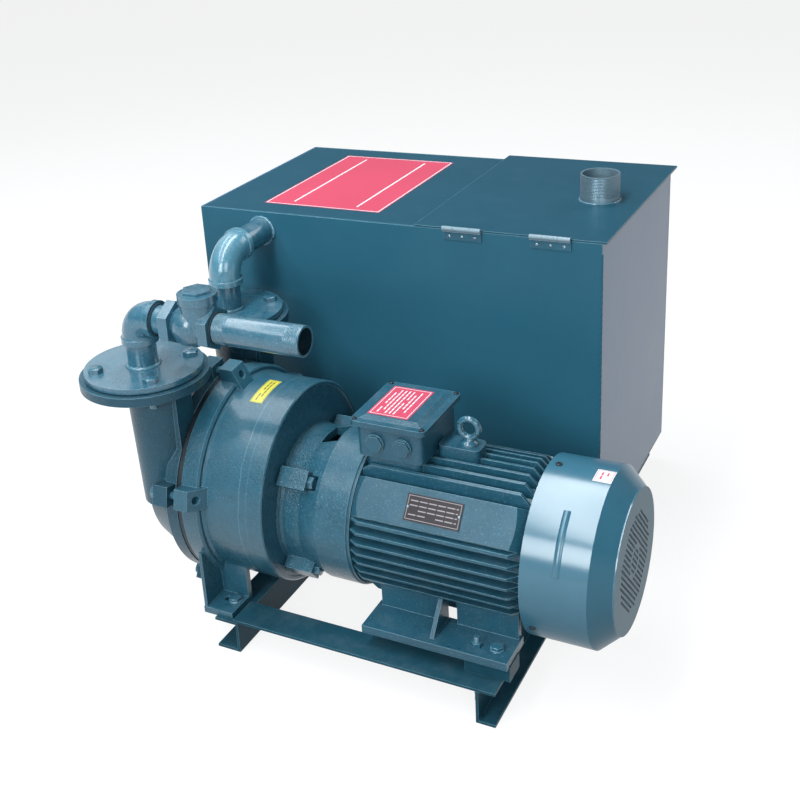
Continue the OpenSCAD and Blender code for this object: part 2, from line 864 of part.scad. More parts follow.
// Lantern bracket with windows, holding the drive-end bearing
module lantern() {
    wall_x0 = bearing_x0 - 4;
    color(paint) place() difference() {
        union() {
            turned(shaft_z, [[lantern_wall_r - lantern_t, casing_x1], [lantern_r, casing_x1],
                [lantern_r, casing_x1 + lantern_foot_t],
                [lantern_wall_r, casing_x1 + lantern_foot_t + foot_fillet],
                [lantern_wall_r, cone_x0], [lantern_ring_r, ring_x0],
                [lantern_ring_r, lantern_x1 - seam_bevel], [lantern_ring_r - seam_bevel, lantern_x1],
                [bearing_r, lantern_x1], [bearing_r, bearing_x0],
                [bearing_r - 6, bearing_x0], [bearing_r - 6, wall_x0], [bearing_r + 10, wall_x0],
                [lantern_wall_r - lantern_t, wall_x0 - 6]]);
            for (a = lantern_lugs) around(shaft_z, a) translate([0, 0, -lantern_lug_w / 2])
                linear_extrude(lantern_lug_w) polygon([[casing_x1, -lantern_wall_r + lantern_t / 2],
                    [casing_x1, -lantern_lug_r - lantern_lug_h],
                    [casing_x1 + lantern_lug_l, -lantern_lug_r - lantern_lug_h],
                    [casing_x1 + lantern_lug_l, -lantern_wall_r + lantern_t / 2]]);
        }
        for (z = [shaft_z - 2 * lantern_r, shaft_z + hub_r])
            block(window_x0, window_x1, -window_w / 2, window_w / 2, z, z + 2 * lantern_r - hub_r);
        lantern_bolt_rods(casing_x1 - cut, casing_x1 + lantern_lug_l + cut, bolt_r);
        // Room for the bolt heads in the cone
        lantern_bolt_rods(casing_x1 + lantern_lug_l, casing_x1 + lantern_lug_l + nut_h + head_room,
            head_room_r);
    }
}

module lantern_bolts() {
    color(steel) place() {
        lantern_bolt_rods(casing_x1 - lantern_bolt_deep + 1, casing_x1 + lantern_lug_l, bolt_r);
        for (a = lantern_lugs) around(shaft_z, a)
            hex_x(casing_x1 + lantern_lug_l, casing_x1 + lantern_lug_l + nut_h, -lantern_lug_r, 0, bolt_af);
    }
}

// Piping: bolted flange plate with its welded riser
module flange_plate(riser_top) {
    difference() {
        union() {
            rod_z(0, -port_y, port_z + flange_gasket_t, plate_z1, plate_r);
            rod_z(0, -port_y, plate_z1, riser_top, pipe_r);
            translate([0, -port_y, plate_z1]) cylinder(r1 = pipe_r + pipe_t, r2 = pipe_r, h = pipe_t);
        }
        rod_z(0, -port_y, port_z, riser_top + cut, pipe_bore_r);
        flange_holes(port_z, plate_z1 + cut, flange_bolt_r + bolt_clear);
    }
}

module suction_flange() {
    color(paint) place() flange_plate(suction_z - suction_cte + elbow_bead_l);
}

module discharge_flange() {
    color(paint) place() mirror([0, 1, 0]) flange_plate(discharge_z - discharge_cte + elbow_bead_l);
}

module flange_gaskets() {
    color(dark) place() both_sides() difference() {
        rod_z(0, -port_y, port_z, port_z + flange_gasket_t, plate_r - 4);
        rod_z(0, -port_y, port_z - cut, port_z + flange_gasket_t + cut, port_bore_r);
        flange_holes(port_z - cut, port_z + flange_gasket_t + cut, flange_bolt_r + bolt_clear);
    }
}

module flange_bolts() {
    color(steel) place() both_sides() for (q = [45 : 90 : 315])
        bolt_down(bolt_circle_r * cos(q), -port_y + bolt_circle_r * sin(q), plate_z1,
            port_z - port_flange_t, flange_bolt_r, flange_bolt_af);
}

// Beaded 90 degree elbow about the origin, from -Z to +X, over pipe ends that reach the beads
module elbow(cte, out_r) {
    bend = cte - elbow_bead_l - 2;
    module way(r, stretch) {
        translate([bend, 0, -bend]) rotate([90, 0, 0]) rotate([0, 0, 90]) rotate_extrude(angle = 90)
            translate([bend, 0]) circle(r = r);
        rod_z(0, 0, -cte - stretch, -bend, r);
        rod_x(bend, cte + stretch, 0, 0, r);
    }
    difference() {
        union() {
            way(pipe_r + elbow_wall, 0);
            rod_z(0, 0, -cte, -cte + elbow_bead_l, pipe_r + elbow_wall + elbow_bead);
            rod_x(cte - elbow_bead_l, cte, 0, 0, pipe_r + elbow_wall + elbow_bead);
        }
        way(pipe_bore_r, cut);
        rod_z(0, 0, -cte - cut, -cte + elbow_bead_l, pipe_r);
        rod_x(cte - elbow_bead_l, cte + cut, 0, 0, out_r);
    }
}

module suction_elbow() {
    color(paint) place() translate([0, -port_y, suction_z]) elbow(suction_cte, nipple_r);
}

module discharge_elbow() {
    color(paint) place() translate([0, port_y, discharge_z]) rotate([0, 0, 90]) elbow(discharge_cte, pipe_r);
}

module suction_nipple() {
    x0 = suction_cte - elbow_bead_l;
    x1 = valve_x0 + socket_in;
    color(paint) place() difference() {
        rod_x(x0, x1, -port_y, suction_z, nipple_r);
        rod_x(x0 - cut, x1 + cut, -port_y, suction_z, pipe_bore_r);
    }
}

module seal_ring(x) {
    difference() {
        rod_x(x, x + seal_ring_t, -port_y, suction_z, nipple_r + seal_ring_h);
        rod_x(x - cut, x + seal_ring_t + cut, -port_y, suction_z, nipple_r);
    }
}

module seal_rings() {
    color(dark) place() {
        seal_ring(suction_cte);
        seal_ring(valve_x1);
    }
}

// Inlet pipe, turned down where it enters the valve
module inlet_pipe() {
    x0 = valve_x1 - socket_in;
    color(paint) place() difference() {
        union() {
            rod_x(x0, inlet_x0 + socket_in, -port_y, suction_z, nipple_r);
            rod_x(inlet_x0, inlet_x1, -port_y, suction_z, pipe_r);
        }
        rod_x(x0 - cut, inlet_x1 + cut, -port_y, suction_z, pipe_bore_r);
    }
}

// Swing check valve: body with the flap's hinge pin staked across its neck
module valve_body() {
    color(paint) place()
        rod_y(flap_pin_x, -port_y - flap_pin_l / 2, -port_y + flap_pin_l / 2, flap_pin_z, flap_pin_r);
    color(paint) place() difference() {
        union() {
            hex_x(valve_x0, valve_x0 + valve_hex_l, -port_y, suction_z, valve_hex_af);
            hex_x(valve_x1 - valve_hex_l, valve_x1, -port_y, suction_z, valve_hex_af);
            translate([valve_mid, -port_y, suction_z]) sphere(r = valve_ball_r);
            rod_x(valve_mid, valve_x1 - valve_hex_l, -port_y, suction_z, valve_neck_r);
            rod_z(bonnet_x, -port_y, suction_z, neck_top, valve_neck_r);
        }
        translate([valve_mid, -port_y, suction_z]) sphere(r = valve_chamber_r);
        rod_x(valve_mid, seat_x, -port_y, suction_z, valve_neck_bore);
        rod_x(valve_x0 - cut, valve_mid, -port_y, suction_z, pipe_bore_r);
        rod_x(seat_x - cut, valve_x1 + cut, -port_y, suction_z, seat_r);
        rod_x(valve_x0 - cut, valve_x0 + socket_in, -port_y, suction_z, nipple_r);
        rod_x(valve_x1 - socket_in, valve_x1 + cut, -port_y, suction_z, nipple_r);
        rod_z(bonnet_x, -port_y, suction_z + flap_r + gap, neck_top + cut, valve_neck_bore);
    }
}

module valve_bonnet() {
    color(paint) place() {
        rod_z(bonnet_x, -port_y, neck_top - 6, neck_top, valve_neck_bore);
        rod_z(bonnet_x, -port_y, neck_top, neck_top + bonnet_h, bonnet_r);
        hex_z(bonnet_x, -port_y, neck_top + bonnet_h, neck_top + bonnet_h + bonnet_hex_h, bonnet_hex_af);
    }
}

module valve_flap() {
    x1 = seat_x - gap;
    color(copper) place() difference() {
        union() {
            rod_x(x1 - flap_t, x1, -port_y, suction_z, flap_r);
            block(x1 - flap_t - 2, x1 - flap_t / 2, -port_y - flap_arm_w / 2, -port_y + flap_arm_w / 2,
                suction_z, flap_pin_z);
            rod_y(flap_pin_x, -port_y - flap_arm_w / 2, -port_y + flap_arm_w / 2, flap_pin_z, flap_eye_r);
        }
        rod_y(flap_pin_x, -port_y - flap_pin_l, -port_y + flap_pin_l, flap_pin_z, flap_pin_r + run_fit);
    }
}

module discharge_pipe() {
    y0 = port_y + discharge_cte - elbow_bead_l;
    y1 = tank_y0 + sheet_t + discharge_stub;
    color(paint) place() difference() {
        rod_y(0, y0, y1, discharge_z, pipe_r);
        rod_y(0, y0 - cut, y1 + cut, discharge_z, pipe_bore_r);
    }
}

module water_pipe() {
    y0 = sqrt(casing_r * casing_r - pow(casing_z - water_z, 2)) - water_r;
    y1 = tank_y0 + sheet_t + 2;
    mid = (y0 + y1) / 2 + water_hex_l;
    color(paint) place() difference() {
        union() {
            rod_y(water_x, y0, y1, water_z, water_r);
            hex_y(water_x, mid - water_hex_l, mid + water_hex_l, water_z, water_hex_af);
        }
        rod_y(water_x, y0 - cut, y1 + cut, water_z, water_r - pipe_t);
    }
}

// Motor
module panel_frame() {
    translate([0, 0, shaft_z]) rotate([-panel_a, 0, 0]) children();
}

// Cast fins: level ones at the sides, upright ones above and below, flat panels between
module fins() {
    intersection() {
        union() {
            for (s = [-1, 1], k = [0.5 : fin_rows - 0.5]) {
                z = shaft_z + s * k * fin_pitch;
                if (s < 0 || k < fin_rows - 1)
                    block(fin_x0, fin_x1, -fin_r, fin_r, z - fin_t / 2, z + fin_t / 2);
                y = s * k * fin_pitch;
                block(fin_x0, fin_x1, y - fin_t / 2, y + fin_t / 2, shaft_z - fin_r, shaft_z + fin_r);
            }
            both_sides() panel_frame() block(fin_x0, fin_x1, -panel_d, -bore_r, -panel_half, panel_half);
        }
        turned(shaft_z, [[0, fin_x0], [fin_rim_r, fin_x0], [fin_r, fin_x0 + fin_rise],
            [fin_r, fin_x1 - fin_taper], [fin_end_r, fin_x1], [0, fin_x1]]);
    }
}

// One motor foot: plate, skirts that leave a hollow, and a rib
module motor_foot() {
    block(foot_x0, foot_x1, -foot_y1, -foot_y0 + skirt_t, foot_z, foot_z + foot_t);
    block(foot_x0 + 6, skirt_gap_x0, -foot_y0, -foot_y0 + skirt_t, foot_z, shaft_z - frame_r / 2);
    block(skirt_gap_x0 + skirt_gap, foot_x1 - 3, -foot_y0, -foot_y0 + skirt_t,
        foot_z, shaft_z - frame_r / 2);
    translate([skirt_gap_x0 - foot_rib, 0, 0]) rotate([90, 0, 90]) linear_extrude(foot_rib)
        polygon([[-foot_y1 + 10, foot_z + foot_t], [-foot_y0, shaft_z - frame_r / 2],
            [-foot_y0 + skirt_t, shaft_z - frame_r / 2], [-foot_y0 + skirt_t, foot_z]]);
}

module motor_frame() {
    color(paint) place() difference() {
        union() {
            turned(shaft_z, [[0, lantern_x1], [frame_rim_r, lantern_x1],
                [frame_rim_r, lantern_x1 + frame_rim_t], [frame_r, lantern_x1 + frame_rim_t],
                [frame_r, frame_x1], [0, frame_x1]]);
            fins();
            both_sides() motor_foot();
            // Seat of the terminal box and boss of the eyebolt
            translate([0, 0, shaft_z]) linear_extrude(box_z0 - shaft_z)
                round_rect(box_x0 + box_seat_in, box_x1 - box_seat_in, -box_w / 2 + box_seat_in,
                    box_w / 2 - box_seat_in, box_round);
            translate([0, 0, shaft_z]) linear_extrude(boss_z - shaft_z)
                round_rect(boss_x0, boss_x1, -boss_w / 2, boss_w / 2, boss_w / 4);
        }
        rod_x(lantern_x1 - cut, frame_x1 + 2 * cut, 0, shaft_z, bore_r);
        rod_z((box_x0 + box_x1) / 2, 0, shaft_z, box_z0 + cut, box_hole_r);
        rod_z(eye_x, 0, boss_z - eye_shank, boss_z + cut, eye_shank_r);
        both_sides() {
            motor_holes();
            rod_z(jack_x, -jack_y, foot_z - cut, foot_z + foot_t + cut, jack_r + gap);
        }
    }
}

module stator_core() {
    color(steel) place() difference() {
        rod_x(core_x0, core_x1, 0, shaft_z, bore_r);
        rod_x(core_x0 - cut, core_x1 + cut, 0, shaft_z, stator_r);
    }
}

module windings() {
    color(copper) place() for (x = [core_x0 - winding_reach, core_x1 + winding_reach])
        translate([x, 0, shaft_z]) rotate([0, 90, 0]) {
            rotate_extrude() translate([winding_mid, 0]) circle(r = winding_r);
            translate([0, 0, x < core_x0 ? 0 : -winding_reach]) difference() {
                cylinder(r = winding_mid + winding_r - 3, h = winding_reach);
                translate([0, 0, -cut])
                    cylinder(r = winding_mid - winding_r + 3, h = winding_reach + 2 * cut);
            }
        }
}

module rotor_core() {
    r = stator_r - air_gap;
    color(steel) place() turned(shaft_z, [[rotor_seat_r, core_x0 - cage_ring_l],
        [r - 3, core_x0 - cage_ring_l], [r - 3, core_x0], [r, core_x0], [r, core_x1], [r - 3, core_x1],
        [r - 3, core_x1 + cage_ring_l], [rotor_seat_r, core_x1 + cage_ring_l]]);
}

module shaft() {
    fan_bearing_x1 = fan_bearing_x0 + fan_bearing_b;
    color(steel) place() turned(shaft_z, [[0, impeller_x0 + impeller_disc_t], [stub_r, impeller_x0
        + impeller_disc_t], [stub_r, impeller_x1], [shaft_r, impeller_x1], [shaft_r, lantern_x1],
        [rotor_seat_r, lantern_x1], [rotor_seat_r, core_x1 + cage_ring_l], [shaft_r, core_x1 + cage_ring_l],
        [shaft_r, fan_bearing_x0], [fan_bearing_in, fan_bearing_x0], [fan_bearing_in, fan_bearing_x1],
        [fan_seat_r, fan_bearing_x1], [fan_seat_r, fan_x0 + fan_hub_l], [0, fan_x0 + fan_hub_l]]);
}

// Deep-groove ball bearings, one per shaft end
module race(x0, b, r0, r1, rb) {
    difference() {
        turned(shaft_z, [[r0, x0], [r1, x0], [r1, x0 + b], [r0, x0 + b]]);
        translate([x0 + b / 2, 0, shaft_z]) rotate([0, 90, 0]) rotate_extrude()
            translate([rb, 0]) circle(r = ball_r(b) + run_fit);
    }
}

function ball_r(b) = 0.33 * b;
function pitch_r(inner, outer) = (inner + outer) / 2;

module bearing_outers() {
    color(steel) place() {
        p = pitch_r(shaft_r, bearing_r);
        race(bearing_x0, bearing_b, p + ball_r(bearing_b) / 2, bearing_r, p);
        q = pitch_r(fan_bearing_in, fan_bearing_r);
        race(fan_bearing_x0, fan_bearing_b, q + ball_r(fan_bearing_b) / 2, fan_bearing_r, q);
    }
}

module bearing_inners() {
    color(steel) place() {
        p = pitch_r(shaft_r, bearing_r);
        race(bearing_x0, bearing_b, shaft_r, p - ball_r(bearing_b) / 2, p);
        q = pitch_r(fan_bearing_in, fan_bearing_r);
        race(fan_bearing_x0, fan_bearing_b, fan_bearing_in, q - ball_r(fan_bearing_b) / 2, q);
    }
}

module caged_balls(x0, b, p) {
    translate([x0 + b / 2, 0, shaft_z]) rotate([0, 90, 0]) {
        for (i = [0 : balls - 1]) rotate(i * 360 / balls) translate([p, 0, 0]) sphere(r = ball_r(b));
        difference() {
            translate([0, 0, -b / 8]) cylinder(r = p + b / 12, h = b / 4);
            translate([0, 0, -b]) cylinder(r = p - b / 12, h = 2 * b);
        }
    }
}

module ball_cages() {
    color(steel) place() {
        caged_balls(bearing_x0, bearing_b, pitch_r(shaft_r, bearing_r));
        caged_balls(fan_bearing_x0, fan_bearing_b, pitch_r(fan_bearing_in, fan_bearing_r));
    }
}

module fan_shield() {
    color(paint) place() difference() {
        union() {
            turned(shaft_z, [[fan_bearing_in + 4, frame_x1], [frame_r + 4, frame_x1],
                [frame_r + 4, frame_x1 + shield_t - 3], [frame_r, frame_x1 + shield_t],
                [shield_hub_r + 8, frame_x1 + shield_t - 2], [shield_hub_r, fan_bearing_x0 + fan_bearing_b],
                [fan_bearing_in + 4, fan_bearing_x0 + fan_bearing_b]]);
            for (a = screw_a) around(shaft_z, a)
                block(frame_x1, cowl_screw_x + shield_lug / 2, -cowl_r + cowl_t + gap, -frame_r + 8,
                    -shield_lug / 2, shield_lug / 2);
        }
        rod_x(fan_bearing_x0, fan_bearing_x0 + fan_bearing_b + cut, 0, shaft_z, fan_bearing_r);
        rod_x(frame_x1 - cut, frame_x1 + shield_t, 0, shaft_z, shaft_r + 2);
        for (a = screw_a) around(shaft_z, a) rod_y(cowl_screw_x, -cowl_r, -frame_r - 8, 0, cowl_screw_r);
    }
}

// Radial fan on the shaft end
module fan() {
    color(dark) place() translate([0, 0, shaft_z]) rotate([90, 0, 90]) difference() {
        union() {
            translate([0, 0, fan_x0]) cylinder(r = fan_hub_r, h = fan_hub_l);
            translate([0, 0, fan_x0]) cylinder(r = fan_r - 12, h = fan_disc_t);
            translate([0, 0, fan_x0]) linear_extrude(fan_blade_l) for (i = [0 : fan_blades - 1])
                rotate(i * 360 / fan_blades) translate([fan_hub_r - 3, -fan_blade_t / 2])
                    square([fan_r - fan_hub_r + 3, fan_blade_t]);
        }
        translate([0, 0, fan_x0 - cut]) cylinder(r = fan_seat_r, h = fan_hub_l + 2 * cut);
    }
}

// Staggered grille holes, with a plain ring round the middle group
module grille_holes() {
    n = floor(grille_r / grille_row);
    for (i = [-n : n], j = [-n : n])
        if ((i + j) % 2 == 0) {
            d = norm([i, j]);
            if (d * grille_row < grille_r && abs(d - grille_ring) > grille_ring_half)
                translate([i * grille_row, j * grille_row]) circle(r = grille_hole_r);
        }
}

module cowl() {
    color(paint) place() {
        difference() {
            union() {
                turned(shaft_z, [[cowl_r - cowl_t, cowl_x0], [cowl_r, cowl_x0],
                    [cowl_r, cowl_x1 - cowl_cone],
                    [cowl_end_r, cowl_x1 - cowl_t], [cowl_end_r, cowl_x1], [cowl_end_r - 3, cowl_x1],
                    [cowl_end_r - 3, cowl_x1 - cowl_t], [cowl_r - cowl_t, cowl_x1 - cowl_cone - cowl_t]]);
                // Pressed stiffening ribs
                for (a = [0 : 120 : 240]) translate([rib_x, 0, shaft_z]) rotate([0, 90, 0])
                    rotate([0, 0, a + rib_a0]) rotate_extrude(angle = rib_span)
                        translate([cowl_r + rib_rise - rib_r, 0]) circle(r = rib_r);
            }
            rod_x(cowl_x0 - cut, cowl_x1 - cowl_cone - cowl_t, 0, shaft_z, cowl_r - cowl_t);
            for (a = screw_a) around(shaft_z, a)
                rod_y(cowl_screw_x, -cowl_r - cut, -cowl_r + 3 * cowl_t, 0, cowl_screw_r);
        }
        translate([cowl_x1 - cowl_t, 0, shaft_z]) rotate([90, 0, 90]) linear_extrude(cowl_t) difference() {
            circle(r = cowl_end_r - 3);
            grille_holes();
        }
    }
}

// Terminal box, hollow, with the two plugged cable entries
module terminal_box() {
    color(paint) place() difference() {
        translate([0, 0, box_z0]) linear_extrude(box_h)
            round_rect(box_x0, box_x1, -box_w / 2, box_w / 2, box_round);
        translate([0, 0, box_z0 + box_t]) linear_extrude(box_h)
            round_rect(box_x0 + box_t, box_x1 - box_t, -box_w / 2 + box_t, box_w / 2 - box_t,
                box_round - box_t);
        rod_z((box_x0 + box_x1) / 2, 0, box_z0 - cut, box_z0 + 2 * box_t, box_hole_r);
        for (s = [-1, 1])
            rod_y((box_x0 + box_x1 + s * plug_span) / 2, -box_w / 2 - cut, -box_w / 2 + 2 * box_t,
                plug_z, plug_r - 4);
    }
}

// Prism along X with sloping sides, for bevelled panels
module sloped_x(x0, x1, half, z0, z1) {
    translate([x0, 0, 0]) rotate([90, 0, 90]) linear_extrude(x1 - x0)
        polygon([[-half, z0], [half, z0], [half - 2 * (z1 - z0), z1], [-half + 2 * (z1 - z0), z1]]);
}

// Lid with a raised middle, bevelled on four sides
module terminal_lid() {
    mid_x = (box_x0 + box_x1) / 2;
    z0 = box_z1 + box_lid_t;
    z1 = z0 + box_lid_rise;
    color(paint) place() {
        translate([0, 0, box_z1]) linear_extrude(box_lid_t)
            round_rect(box_x0 - lid_over, box_x1 + lid_over, -box_w / 2 - lid_over, box_w / 2 + lid_over,
                box_round);
        intersection() {
            sloped_x(box_x0 - lid_over, box_x1 + lid_over, box_w / 2 - lid_bevel, z0, z1);
            translate([mid_x, 0, 0]) rotate([0, 0, 90])
                sloped_x(-box_w, box_w, box_l / 2 - lid_bevel, z0, z1);
        }
    }
}

module cable_plugs() {
    color(paint) place() for (s = [-1, 1]) {
        x = (box_x0 + box_x1 + s * plug_span) / 2;
        rod_y(x, -box_w / 2 - plug_rim, -box_w / 2, plug_z, plug_r);
        hex_y(x, -box_w / 2 - plug_head, -box_w / 2 - plug_rim, plug_z, plug_af);
        rod_y(x, -box_w / 2, -box_w / 2 + box_t, plug_z, plug_r - 4);
    }
}

// Screws of the terminal lid and of the cowl
module cover_screws() {
    color(steel) place() {
        for (x = [box_x0 - 1, box_x1 + 1], y = [-box_w / 2 - 1, box_w / 2 + 1])
            rod_z(x, y, box_z1 + box_lid_t, box_z1 + box_lid_t + screw_head_h, lid_screw_r);
        for (a = screw_a) around(shaft_z, a) {
            rod_y(cowl_screw_x, -cowl_r, -frame_r - 8, 0, cowl_screw_r);
            rod_y(cowl_screw_x, -cowl_r - screw_head_h, -cowl_r, 0, cowl_screw_head);
        }
    }
}

module eyebolt() {
    color(steel) place() {
        rod_z(eye_x, 0, boss_z - eye_shank, boss_z, eye_shank_r);
        translate([eye_x, 0, boss_z]) cylinder(r1 = eye_collar_r, r2 = eye_t + 1, h = eye_collar_h);
        translate([eye_x, 0, eye_z]) rotate([90, 0, 0])
            rotate_extrude() translate([eye_r, 0]) circle(r = eye_t);
    }
}

module nameplate() {
    color(dark) place() panel_frame()
        block(nameplate_x, nameplate_x + plate_l, -panel_d - nameplate_t, -panel_d,
            -plate_h / 2, plate_h / 2);
}

left_channel();
right_angle();
front_rail();
rear_rail();
rear_pad();
foot_spacers();
foot_bolts();
jack_screws();
tank_front();
tank_back();
tank_ends();
tank_bottom();
tank_top();
tank_baffle();
hinge_leaves();
hinge_screws();
lid();
vent_pipe();
lid_leaves();
end_cover();
port_plate();
cover_gaskets();
pump_casing();
cover_bolts();
impeller();
seal_seat();
seal_head();
lantern();
lantern_bolts();
suction_flange();
discharge_flange();
flange_gaskets();
flange_bolts();
suction_elbow();
suction_nipple();
seal_rings();
valve_body();
valve_bonnet();
valve_flap();
inlet_pipe();
discharge_elbow();
discharge_pipe();
water_pipe();
motor_frame();
stator_core();
windings();
rotor_core();
shaft();
bearing_outers();
ball_cages();
bearing_inners();
fan_shield();
fan();
cowl();
terminal_box();
terminal_lid();
cable_plugs();
cover_screws();
eyebolt();
nameplate();
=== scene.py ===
# %% [markdown]
# A liquid ring vacuum pump set: a cast pump, a finned motor and a welded water tank on one skid.
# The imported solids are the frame, and this lesson dresses them: light, camera, paint, then small pieces.

# %% Load the frame
import math
import random

import bmesh
import bpy
from mathutils import Matrix, Vector


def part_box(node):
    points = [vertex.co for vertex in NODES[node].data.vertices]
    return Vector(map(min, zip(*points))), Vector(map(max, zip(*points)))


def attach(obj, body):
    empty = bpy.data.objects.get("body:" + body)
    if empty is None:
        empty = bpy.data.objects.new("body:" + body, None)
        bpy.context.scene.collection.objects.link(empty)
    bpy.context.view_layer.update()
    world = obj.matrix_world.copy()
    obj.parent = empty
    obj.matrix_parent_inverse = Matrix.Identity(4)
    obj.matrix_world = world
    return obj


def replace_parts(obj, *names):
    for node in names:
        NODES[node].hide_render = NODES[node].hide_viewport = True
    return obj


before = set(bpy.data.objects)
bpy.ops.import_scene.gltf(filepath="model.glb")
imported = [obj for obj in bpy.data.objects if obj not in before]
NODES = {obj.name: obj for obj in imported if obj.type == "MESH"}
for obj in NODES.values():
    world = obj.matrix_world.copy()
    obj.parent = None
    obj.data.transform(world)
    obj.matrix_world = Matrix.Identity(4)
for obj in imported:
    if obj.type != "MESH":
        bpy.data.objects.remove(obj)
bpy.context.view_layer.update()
MM = 0.001
print("nodes loaded:", len(NODES))

# %% [markdown]
# Most places and many sizes below are read from the imported solids, so a piece stays on what carries it when a
# size changes.
# The shaft axis and the casing axis are the two lines that most pieces are turned about.


# %% Middle lines of the set
def middle(name):
    low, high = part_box(name)
    return (low + high) / 2


SHAFT = middle("stator_core")
CASING = middle("port_plate")
print("shaft height", round(SHAFT.z, 4), "casing height", round(CASING.z, 4))

# %% [markdown]
# The photograph is taken from the front right, a little above the lid. A camera can be set by eye, but then
# the edges never quite fall on those of the picture, so here its focal length, middle and small roll were
# found by fitting the edges of the tank, the skid and the cowl. Blender shifts the lens instead of cropping,
# so the picture's own middle is given as a shift.

# %% Camera
PHOTO_PX = 800
FOCAL_PX = 1194.6
MIDDLE_PX = (330.0, 309.2)
SENSOR_MM = 36
CAMERA_AT = Vector((0.72052, -1.52173, 1.08929))
TURN_DEG = (29.93, 21.81, -4.35)
YAW, PITCH, ROLL = (math.radians(a) for a in TURN_DEG)

UP = Vector((0, 0, 1))
flat_back = Vector((math.sin(YAW), -math.cos(YAW), 0))
back = math.cos(PITCH) * flat_back + math.sin(PITCH) * UP
level = UP.cross(back).normalized()
upright = back.cross(level)
right = math.cos(ROLL) * level + math.sin(ROLL) * upright
up = math.cos(ROLL) * upright - math.sin(ROLL) * level
lens = bpy.data.cameras.new("photo_camera")
lens.sensor_width = SENSOR_MM
lens.lens = SENSOR_MM * FOCAL_PX / PHOTO_PX
lens.shift_x = 0.5 - MIDDLE_PX[0] / PHOTO_PX
lens.shift_y = MIDDLE_PX[1] / PHOTO_PX - 0.5
camera = bpy.data.objects.new("photo_camera", lens)
bpy.context.scene.collection.objects.link(camera)
camera.matrix_world = Matrix((right, up, back)).transposed().to_4x4()
camera.location = CAMERA_AT
bpy.context.scene.camera = camera
print("lens", round(lens.lens, 1), "mm")

# %% [markdown]
# The set was photographed under a wide bright sky. One large lamp would light it evenly but leave the enamel
# dull, because a glossy round part shows only what its slope mirrors. So one soft strip lies overhead where
# the cowl mirrors it and one where the casing does. A panel in front and one to the right light the tank, two
# behind give the level tops a sheen, and a dim even room fills the shadows.


# %% Light
SKY_TINT = (0.92, 0.97, 1.0)
ROOM_TINT = (0.93, 0.97, 1.0, 1)
ROOM_LEVEL = 0.13
STRIP_SIZE = (0.42, 3.8)
STRIP_Y = -0.7
STRIP_Z = 2.4
STRIPS = (("cowl_strip", -0.27, 60), ("casing_strip", -1.35, 34))
PANELS = (
    ("front_panel", (-0.3, -3.0, 1.5), (0, -0.2, 0.3), (1.0, 1.2), 40),
    ("right_panel", (1.7, -2.5, 1.5), (0, 0, 0.35), (1.2, 1.2), 26),
    ("back_right_panel", (1.3, 2.3, 2.0), (0, 0, 0.4), (1.5, 1.2), 16),
    ("back_left_panel", (-2.6, 1.5, 1.7), (0, 0, 0.4), (1.5, 1.2), 5),
)


def soft_box(name, at, aim, size, watts):
    """A soft rectangular lamp at a place in metres, turned to look at aim."""
    lamp = bpy.data.lights.new(name, "AREA")
    lamp.shape = "RECTANGLE"
    lamp.size, lamp.size_y = size
    lamp.energy = watts
    lamp.color = SKY_TINT
    holder = bpy.data.objects.new(name, lamp)
    bpy.context.scene.collection.objects.link(holder)
    holder.location = at
    holder.rotation_euler = (Vector(aim) - Vector(at)).to_track_quat("-Z", "Y").to_euler()


for name, x, watts in STRIPS:
    soft_box(name, (x, STRIP_Y, STRIP_Z), (x, STRIP_Y, 0), STRIP_SIZE, watts)
for panel in PANELS:
    soft_box(*panel)

world = bpy.data.worlds.new("studio")
bpy.context.scene.world = world
world.use_nodes = True
room = world.node_tree.nodes["Background"]
room.inputs["Color"].default_value = ROOM_TINT
room.inputs["Strength"].default_value = ROOM_LEVEL
bpy.context.scene.view_settings.view_transform = "Standard"

# %% [markdown]
# Almost the whole set wears one teal enamel. Each finish could be wired by hand, but then every change would
# have to be made in each of them, so the paint is built from a few shader groups that the finishes share. Each
# group gives one effect: uneven tone, the grain of a casting, soft edges, settled dust. These short calls place
# and wire the nodes.


# %% Helpers for shader nodes
def srgb(red, green, blue):
    def linear(value):
        value /= 255
        return value / 12.92 if value <= 0.04045 else ((value + 0.055) / 1.055) ** 2.4

    return (linear(red), linear(green), linear(blue), 1)


class Tree:
    """Short calls to place and wire nodes in a material or a group."""

    def __init__(self, tree):
        self.tree = tree

    def add(self, kind, settings=None, **values):
        made = self.tree.nodes.new(kind)
        for name, value in (settings or {}).items():
            setattr(made, name, value)
        for name, value in values.items():
            self.feed(made.inputs[name.replace("_", " ")], value)
        return made

    def feed(self, socket, value):
        if isinstance(value, bpy.types.NodeSocket):
            self.tree.links.new(value, socket)
        else:
            socket.default_value = value

    def math(self, operation, *values):
        made = self.tree.nodes.new("ShaderNodeMath")
        made.operation = operation
        for socket, value in zip(made.inputs, values):
            self.feed(socket, value)
        return made.outputs[0]

    def mix(self, factor, first, second, blend="MIX"):
        made = self.tree.nodes.new("ShaderNodeMix")
        made.data_type = "RGBA"
        made.blend_type = blend
        for index, value in ((0, factor), (6, first), (7, second)):
            self.feed(made.inputs[index], value)
        return made.outputs[2]

    def ramp(self, value, low, high, to_low=0.0, to_high=1.0):
        made = self.add("ShaderNodeMapRange", {"interpolation_type": "SMOOTHSTEP"})
        for name, number in (("From Min", low), ("From Max", high), ("To Min", to_low), ("To Max", to_high)):
            self.feed(made.inputs[name], number)
        self.feed(made.inputs["Value"], value)
        return made.outputs["Result"]

    def noise(self, where, scale, detail=3.0, rough=0.55):
        made = self.add("ShaderNodeTexNoise", Vector=where, Scale=scale, Detail=detail, Roughness=rough)
        return made.outputs["Fac"]


